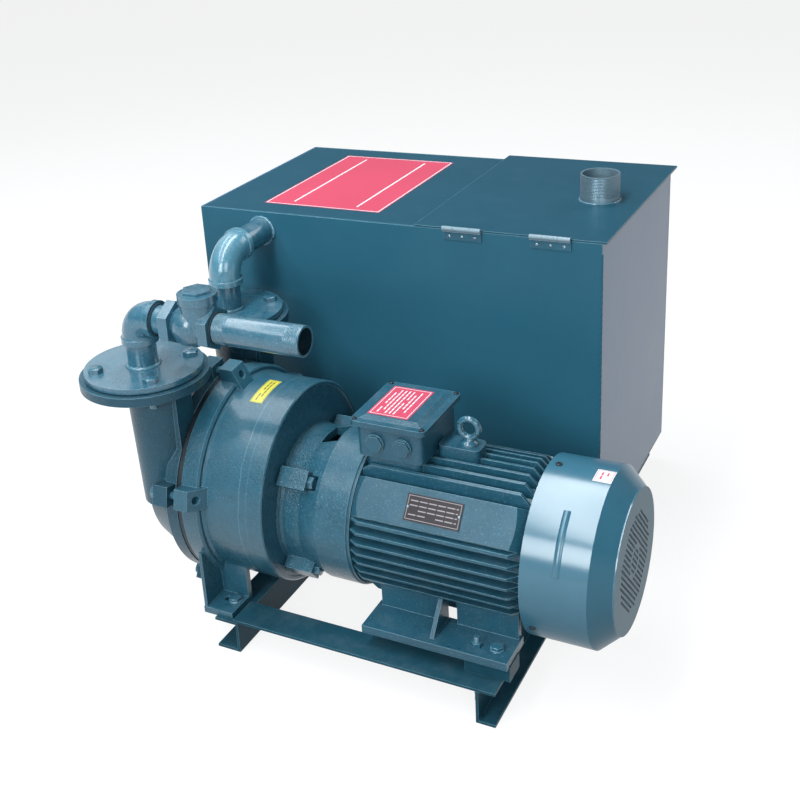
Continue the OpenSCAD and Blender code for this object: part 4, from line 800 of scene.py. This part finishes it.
def threaded_pipe(name, node, axis, threads, bore, pitch_mm=2.31, depth_mm=0.9, finish=None, body="base"):
    """A pipe in a node's place. threads is (start, end) in mm from its low end, bore its inner radius."""
    low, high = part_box(node)
    along = Vector(axis)
    first, second = side_axes(along)
    length = (high - low).dot(along)
    radius = max((high - low).dot(Vector((abs(v) for v in first))), 0) / 2
    start = middle(node) - along * length / 2
    step = pitch_mm * MM / 5
    stations = {0.0, length}
    for a, b in threads:
        steps = round((b - a) * MM / step)
        stations |= {min(max((a * MM + i * step), 0), length) for i in range(steps + 1)}

    def depth_at(x):
        for a, b in threads:
            inside = min(x - a * MM, b * MM - x) / (2 * pitch_mm * MM)
            if inside > 0:
                return depth_mm * MM * min(1, inside + (0.5 if b * MM >= length else 0))
        return 0

    def ring(x, r, wind):
        points = []
        for i in range(RING_POINTS):
            share = i / RING_POINTS
            tooth = abs(((x / (pitch_mm * MM) + share) % 1) * 2 - 1)
            here = r - wind * depth_at(x) * tooth
            turn = 2 * math.pi * share
            points.append(start + along * x + here * (math.cos(turn) * first + math.sin(turn) * second))
        return points

    def build(work):
        outside = [ring(x, radius, 1) for x in sorted(stations)]
        inside = [ring(x, bore, 0) for x in (length, 0)]
        far_lip = [ring(length, radius - LIP, 0)]
        near_lip = [ring(0, radius - LIP, 0)]
        loft(work, outside + far_lip + inside + near_lip, closed=True)

    made = add_piece(name, build, finish, body, sharp_deg=50)
    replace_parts(made, node)
    return made


INLET_WALL = 3.25 * MM
VENT_WALL = 3.6 * MM
inlet_low, inlet_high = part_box("inlet_pipe")
inlet_mm = (inlet_high.x - inlet_low.x) / MM
threaded_pipe("inlet_pipe_threaded", "inlet_pipe", (1, 0, 0), [(0, 32), (inlet_mm - 22, inlet_mm)],
              PIPE_R - INLET_WALL, finish=inlet_paint)
vent_mm = (vent_high.z - vent_low.z) / MM
threaded_pipe("vent_pipe_threaded", "vent_pipe", (0, 0, 1), [(16, vent_mm)], VENT_R - VENT_WALL, depth_mm=0.5,
              finish=vent_steel, body="lid")
print("threaded pipes: inlet", round(inlet_mm), "mm, vent", round(vent_mm), "mm")

# %% [markdown]
# The flanges, covers and feet are held by hexagon bolts, whose turned chamfer leaves the curved edges that
# every real bolt shows. A Bevel modifier can't cut that curve, so the head is three rings of points. Their
# places are read from the solids: each loose island of a node's mesh is one bolt.


# %% Hex bolts
HEX_POINTS = 24
CHAMFER = 0.93


def islands(node):
    """Lowest and highest corners of each separate solid in a node."""
    work = bmesh.new()
    work.from_mesh(NODES[node].data)
    bmesh.ops.remove_doubles(work, verts=work.verts, dist=1e-5)
    left = set(work.verts)
    found = []
    while left:
        todo = [left.pop()]
        points = []
        while todo:
            vert = todo.pop()
            points.append(vert.co.copy())
            for edge in vert.link_edges:
                other = edge.other_vert(vert)
                if other in left:
                    left.remove(other)
                    todo.append(other)
        low = Vector(min(p[i] for p in points) for i in range(3))
        high = Vector(max(p[i] for p in points) for i in range(3))
        found.append((low, high))
    work.free()
    return sorted(found, key=lambda box: tuple(box[0]))


def hex_head(work, at, axis, flats, height, turn=0.0):
    """A chamfered hexagon that rises from at along axis."""
    axis = Vector(axis)
    first, second = side_axes(axis)
    flat_r = flats / 2
    rings = [[], [], []]
    for i in range(HEX_POINTS):
        angle = 2 * math.pi * i / HEX_POINTS
        outer = flat_r / math.cos((angle % (math.pi / 3)) - math.pi / 6)
        side = math.cos(angle + turn) * first + math.sin(angle + turn) * second
        drop = (outer - CHAMFER * flat_r) * math.tan(math.pi / 6)
        rings[0].append(at + outer * side)
        rings[1].append(at + outer * side + axis * (height - drop))
        rings[2].append(at + CHAMFER * flat_r * side + axis * height)
    loft(work, rings)


def rod(work, at, axis, radius, length, rim=0.0):
    """A round bar from at along axis, with chamfered ends."""
    axis = Vector(axis)
    rings = [(0, radius - rim), (rim, radius), (length - rim, radius), (length, radius - rim)]
    loft(work, [circle(at + axis * x, axis, r, HEX_POINTS) for x, r in rings])


def bolts(name, node, axis, flats, head, nut=0.0, shank=5.0, washer=0.0):
    """Dressed bolts in a node's place. axis points from shank to head, sizes are in mm."""
    axis = Vector(axis)

    def build(work):
        for low, high in islands(node):
            mid = (low + high) / 2
            half = abs((high - low).dot(axis)) / 2
            top = mid + axis * half
            seat = top - axis * head * MM
            hex_head(work, seat, axis, flats * MM, head * MM, spread.uniform(0, math.pi / 3))
            rod(work, mid - axis * half, axis, shank * MM, 2 * half - 0.5 * head * MM, 0.7 * MM)
            if nut:
                foot = mid - axis * (half - shank * MM)
                hex_head(work, foot + axis * nut * MM, -axis, flats * MM, nut * MM, spread.uniform(0, 1))
            if washer:
                rod(work, seat, axis, washer * MM, 1.2 * MM, 0.3 * MM)

    made = add_piece(name, build, bolt_paint)
    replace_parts(made, node)
    return made


bolts("flange_bolts_dressed", "flange_bolts", (0, 0, 1), 19, 7.7, nut=9.6, shank=6)
bolts("cover_bolts_dressed", "cover_bolts", (-1, 0, 0), 18, 8, shank=6)
bolts("lantern_bolts_dressed", "lantern_bolts", (1, 0, 0), 16, 8)
bolts("foot_bolts_dressed", "foot_bolts", (0, 0, 1), 16, 6.4, nut=8, washer=10)
print("bolt groups dressed")

# %% [markdown]
# The terminal lid, the cowl and the hinges are held by small screws with a domed head and a cross recess. The
# recess could be cut with a Boolean, but rings of points that follow the dome, and sink to its floor where they
# fall inside one of the two arms, keep the mesh clean.


# %% Cross-recess screws
DOME_SHARES = (1.0, 0.97, 0.88, 0.76, 0.66, 0.62, 0.5, 0.36, 0.24, 0.18, 0.08)
DOME_POINTS = 48
ARM_HALF = 0.17
ARM_REACH = 0.65
RECESS = 0.55


def cross_screw(work, at, axis, radius, height, shank, length, turn):
    """A domed head that rises from at along axis, on a plain shank that goes the other way."""
    axis = Vector(axis).normalized()
    first, second = side_axes(axis)
    rings = []
    for share in DOME_SHARES:
        ring = []
        for i in range(DOME_POINTS):
            angle = 2 * math.pi * i / DOME_POINTS
            x = share * math.cos(angle)
            y = share * math.sin(angle)
            rise = height * (1 - 0.5 * share ** 3)
            if min(abs(x), abs(y)) < ARM_HALF and share < ARM_REACH:
                rise -= RECESS * height
            side = math.cos(angle + turn) * first + math.sin(angle + turn) * second
            ring.append(at + radius * share * side + axis * rise)
        rings.append(ring)
    loft(work, [circle_like(rings[0], at, axis)] + rings)
    rod(work, at - axis * length, axis, shank, length + 0.2 * height)


def circle_like(ring, at, axis):
    """The ring's points moved down to the plane through at."""
    return [p - axis * (p - at).dot(axis) for p in ring]


COWL_R = 121.5 * MM
LID_REACH = 100 * MM
QUARTER = 1.5
cowl_mid = middle("cowl")


def build_cover_screws(work):
    lid_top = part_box("terminal_lid")[0].z
    for low, high in islands("cover_screws"):
        mid = (low + high) / 2
        if mid.z > lid_top and abs(mid.x - cowl_mid.x) > LID_REACH:
            at = Vector((mid.x, mid.y, low.z))
            cross_screw(work, at, UP, 3.4 * MM, 2.5 * MM, 2 * MM, 1 * MM, spread.uniform(0, QUARTER))
        else:
            out = Vector((0, mid.y - SHAFT.y, mid.z - SHAFT.z)).normalized()
            at = Vector((mid.x, SHAFT.y, SHAFT.z)) + out * COWL_R
            cross_screw(work, at, out, 4.5 * MM, 2.5 * MM, 2.5 * MM, 16 * MM, spread.uniform(0, QUARTER))


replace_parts(add_piece("cover_screws_dressed", build_cover_screws, shaded_dark_steel), "cover_screws")


def build_hinge_screws(work):
    for low, high in islands("hinge_screws"):
        at = (low + high) / 2
        at.y = low.y + 1 * MM
        cross_screw(work, at, (0, -1, 0), 2.4 * MM, 1 * MM, 1.5 * MM, 8 * MM, spread.uniform(0, QUARTER))


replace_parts(add_piece("hinge_screws_dressed", build_hinge_screws, zinc), "hinge_screws")
print("screws dressed")

# %% [markdown]
# Two jack screws stand up through the motor feet with bare thread above their nuts, to set the motor's height.
# A plain rod would look blank this close to the front, so the thread winds as on the pipes: each ring's radius
# follows a saw-tooth that turns further at every step.


# %% Jack screws
STUD_POINTS = 20
FOOT_T = 11.5 * MM


def stud(work, at, axis, radius, length, pitch):
    axis = Vector(axis)
    first, second = side_axes(axis)
    steps = round(4 * length / pitch)
    rings = []
    for k in range(steps + 1):
        x = length * k / steps
        ring = []
        for i in range(STUD_POINTS):
            tooth = abs(((x / pitch + i / STUD_POINTS) % 1) * 2 - 1)
            turn = 2 * math.pi * i / STUD_POINTS
            side = math.cos(turn) * first + math.sin(turn) * second
            ring.append(at + axis * x + (radius - 0.5 * pitch * tooth) * side)
        rings.append(ring)
    loft(work, rings)


def build_jack_screws(work):
    foot_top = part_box("foot_spacers")[1].z + FOOT_T
    for low, high in islands("jack_screws"):
        at = (low + high) / 2
        at.z = low.z
        stud(work, at, UP, 4 * MM, high.z - low.z, 1.25 * MM)
        at.z = foot_top
        hex_head(work, at, UP, 13 * MM, 6.4 * MM, spread.uniform(0, 1))


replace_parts(add_piece("jack_screws_dressed", build_jack_screws, bolt_paint), "jack_screws")
print("jack screws dressed")

# %% [markdown]
# The lifting eye is drop-forged: a ring that grows out of a flared collar with no sharp step. A torus on a
# cylinder would show the step, so the ring is a closed loft of circles, and the collar is a turned profile that
# narrows as it runs up into the ring's foot.

# %% Lifting eye
eye_low, eye_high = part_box("eyebolt")
EYE_BAR = 4.6 * MM
eye_ring = (eye_high.x - eye_low.x) / 2 - EYE_BAR
eye_mid = (eye_low + eye_high) / 2
eye_mid.z = eye_high.z - eye_ring - EYE_BAR
COLLAR = ((0, 12), (3, 12), (4.2, 11.2), (5.6, 8.4), (7.5, 6.6), (10, 5.8), (12, 5))
EYE_SHANK = 16 * MM
EYE_STEPS = 48
eye_foot = Vector((eye_mid.x, eye_mid.y, eye_low.z + EYE_SHANK))


def build_eye(work):
    rings = []
    for i in range(EYE_STEPS):
        turn = 2 * math.pi * i / EYE_STEPS
        out = Vector((math.cos(turn), 0, math.sin(turn)))
        rings.append(circle(eye_mid + eye_ring * out, out.cross(Vector((0, 1, 0))), EYE_BAR, 16))
    loft(work, rings, closed=True)
    loft(work, [circle(eye_foot + UP * z * MM, UP, r * MM, 32) for z, r in COLLAR])
    rod(work, eye_foot - UP * EYE_SHANK, UP, 4 * MM, EYE_SHANK + 1 * MM, 0.6 * MM)


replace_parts(add_piece("eyebolt_forged", build_eye, bolt_paint, sharp_deg=45), "eyebolt")
print("lifting eye", round(2 * (eye_ring + EYE_BAR) / MM), "mm across")

# %% [markdown]
# The set carries a sheet on the tank, a label on the terminal lid, a patch on the casing, a sticker on the
# cowl and a nameplate. Each is a thin sheet laid on a surface. A Shrinkwrap modifier could lay it down, but a
# function that gives the place for each share of the width and height serves a flat lid and a round casing
# alike. Their faces are blank, with a frame and ruled rows.


# %% Labels and plates
def printed(name, face, ink, size, inset, line, row, block, margin, bar=0.17, gloss=0.3):
    """A blank printed face. Sizes are in mm, bar is the share of a row that each ruled line fills."""
    material, tree, shader = new_material(name)
    tone = placed(tree, "uneven_tone", Paint=face, Amount=0.05)
    mark = placed(tree, "printed_face", Width_mm=size[0], Height_mm=size[1], Inset_mm=inset, Line_mm=line,
                  Row_mm=row, Block_mm=block, Bar=bar, Margin_mm=margin)
    shade = tree.math("MAXIMUM", mark["Frame"], mark["Rows"])
    tree.feed(shader.inputs["Base Color"], tree.mix(shade, tone["Color"], ink))
    tree.feed(shader.inputs["Roughness"], tree.ramp(tone["Patch"], 0.3, 0.7, gloss - 0.02, gloss + 0.02))
    return material


def label(name, point, finish, body="base", grid=(2, 2), thick=0.25 * MM):
    """A thin sheet. point(u, v, lift) gives its place, with u and v from 0 to 1."""

    def build(work):
        chart = work.loops.layers.uv.new("print")
        shares = {}
        sheets = []
        for lift in (0.02 * MM, thick):
            sheet = []
            for i in range(grid[0] + 1):
                sheet.append([])
                for j in range(grid[1] + 1):
                    u, v = i / grid[0], j / grid[1]
                    vert = work.verts.new(point(u, v, lift))
                    shares[vert] = (u, v)
                    sheet[-1].append(vert)
            sheets.append(sheet)
            for i in range(grid[0]):
                for j in range(grid[1]):
                    work.faces.new((sheet[i][j], sheet[i + 1][j], sheet[i + 1][j + 1], sheet[i][j + 1]))
        rims = []
        for sheet in sheets:
            far_side = [column[-1] for column in sheet[:-1]]
            near_side = [column[0] for column in sheet[:0:-1]]
            rims.append(sheet[0][:-1] + far_side + sheet[-1][:0:-1] + near_side)
        for k in range(len(rims[0])):
            work.faces.new((rims[0][k - 1], rims[0][k], rims[1][k], rims[1][k - 1]))
        for face in work.faces:
            for corner_loop in face.loops:
                corner_loop[chart].uv = shares[corner_loop.vert]

    return add_piece(name, build, finish, body)


def on_drum(axis_at, radius, x0, x1, low_deg, high_deg):
    """Places on a drum about the X direction, with u round it and v along it."""

    def point(u, v, lift):
        angle = math.radians(low_deg + u * (high_deg - low_deg))
        out = Vector((0, -math.cos(angle), math.sin(angle)))
        return Vector((x0 + v * (x1 - x0), axis_at.y, axis_at.z)) + (radius + lift) * out

    return point


def on_flat(start, along_u, along_v, up):
    """Places on a flat face, with u and v along its two sides."""

    def point(u, v, lift):
        return start + u * along_u + v * along_v + lift * up

    return point


print("label helpers ready")

# %% [markdown]
# The two red sheets lie flat on the tank and on the terminal lid, with a white frame and ruled lines. Their
# places are measured from the corner of the tank and from the middle of the lid, as a person would lay them.

# %% Flat labels
WHITE = srgb(236, 238, 240)
RED = srgb(214, 80, 106)
SHEET = (298, 208)
SHEET_AT = (94, 46)
start = Vector((tank_low.x + SHEET_AT[0] * MM, tank_low.y + SHEET_AT[1] * MM, tank_high.z))
sheet_place = on_flat(start, Vector((0, SHEET[0] * MM, 0)), Vector((SHEET[1] * MM, 0, 0)), UP)
label("tank_top_sheet", sheet_place, printed("red_sheet", RED, WHITE, SHEET, 3, 2, 57, 600, 18, bar=0.03))

BOX_LABEL = (88, 60)
BOX_LABEL_LEFT = 37
start = middle("terminal_lid") - Vector((BOX_LABEL_LEFT * MM, BOX_LABEL[0] / 2 * MM, 0))
start.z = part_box("terminal_lid")[1].z
box_place = on_flat(start, Vector((0, BOX_LABEL[0] * MM, 0)), Vector((BOX_LABEL[1] * MM, 0, 0)), UP)
label("terminal_label", box_place, printed("red_label", RED, WHITE, BOX_LABEL, 3, 1, 6, 9, 8))
print("flat labels", SHEET, BOX_LABEL)

# %% [markdown]
# The patch on the casing and the sticker on the cowl bend round a drum, so their points are placed by an angle
# and need more steps that way than along the shaft.

# %% Labels on the drums
INK = srgb(40, 40, 44)
YELLOW = srgb(222, 214, 84)
CASING_R = 147.5 * MM
PATCH = (59, 20)
PATCH_X = 63.5
x0 = CASING.x + PATCH_X * MM
label("casing_patch", on_drum(CASING, CASING_R, x0, x0 + PATCH[1] * MM, 71, 94),
      printed("yellow_patch", YELLOW, INK, PATCH, 1.2, 0.5, 5, 8, 5), grid=(14, 2))

STICKER = (28, 24)
STICKER_X = 6
x0 = cowl_mid.x + STICKER_X * MM
label("cowl_sticker", on_drum(SHAFT, COWL_R, x0, x0 + STICKER[1] * MM, 80, 93),
      printed("white_sticker", WHITE, RED, STICKER, 1.6, 0.7, 7, 9, 5), grid=(10, 2))
print("drum labels", PATCH, STICKER)

# %% [markdown]
# The nameplate is a dark plate riveted to the sloping flat of the motor frame. The solid is its blank, and the
# print is a thin sheet on top, with two domed rivets turned as small lofts.

# %% Nameplate
PLATE = (79, 36)
PLATE_SLOPE = math.radians(38)
PLATE_HALF_T = 0.6 * MM
PLATE_FACE = srgb(32, 24, 30)
PLATE_INK = srgb(164, 156, 160)
RIVET = ((2.0, 0.0), (2.0, 0.4), (1.7, 0.9), (1.1, 1.3), (0.4, 1.45))
RIVET_IN = 3
out = Vector((0, -math.cos(PLATE_SLOPE), math.sin(PLATE_SLOPE)))
rise = Vector((0, math.sin(PLATE_SLOPE), math.cos(PLATE_SLOPE)))
flat_x = Vector((1, 0, 0))
plate_mid = middle("nameplate") + PLATE_HALF_T * out
start = plate_mid - flat_x * PLATE[0] / 2 * MM - rise * PLATE[1] / 2 * MM
label("nameplate_print", on_flat(start, flat_x * PLATE[0] * MM, rise * PLATE[1] * MM, out),
      printed("plate_print", PLATE_FACE, PLATE_INK, PLATE, 2.4, 0.7, 6.2, 13, 5.5, bar=0.11), thick=0.15 * MM)


def build_rivets(work):
    for side in (-1, 1):
        at = plate_mid + flat_x * side * (PLATE[0] / 2 - RIVET_IN) * MM
        loft(work, [circle(at + out * h * MM, out, r * MM, 20) for r, h in RIVET])


add_piece("nameplate_rivets", build_rivets, zinc)
print("labels laid")
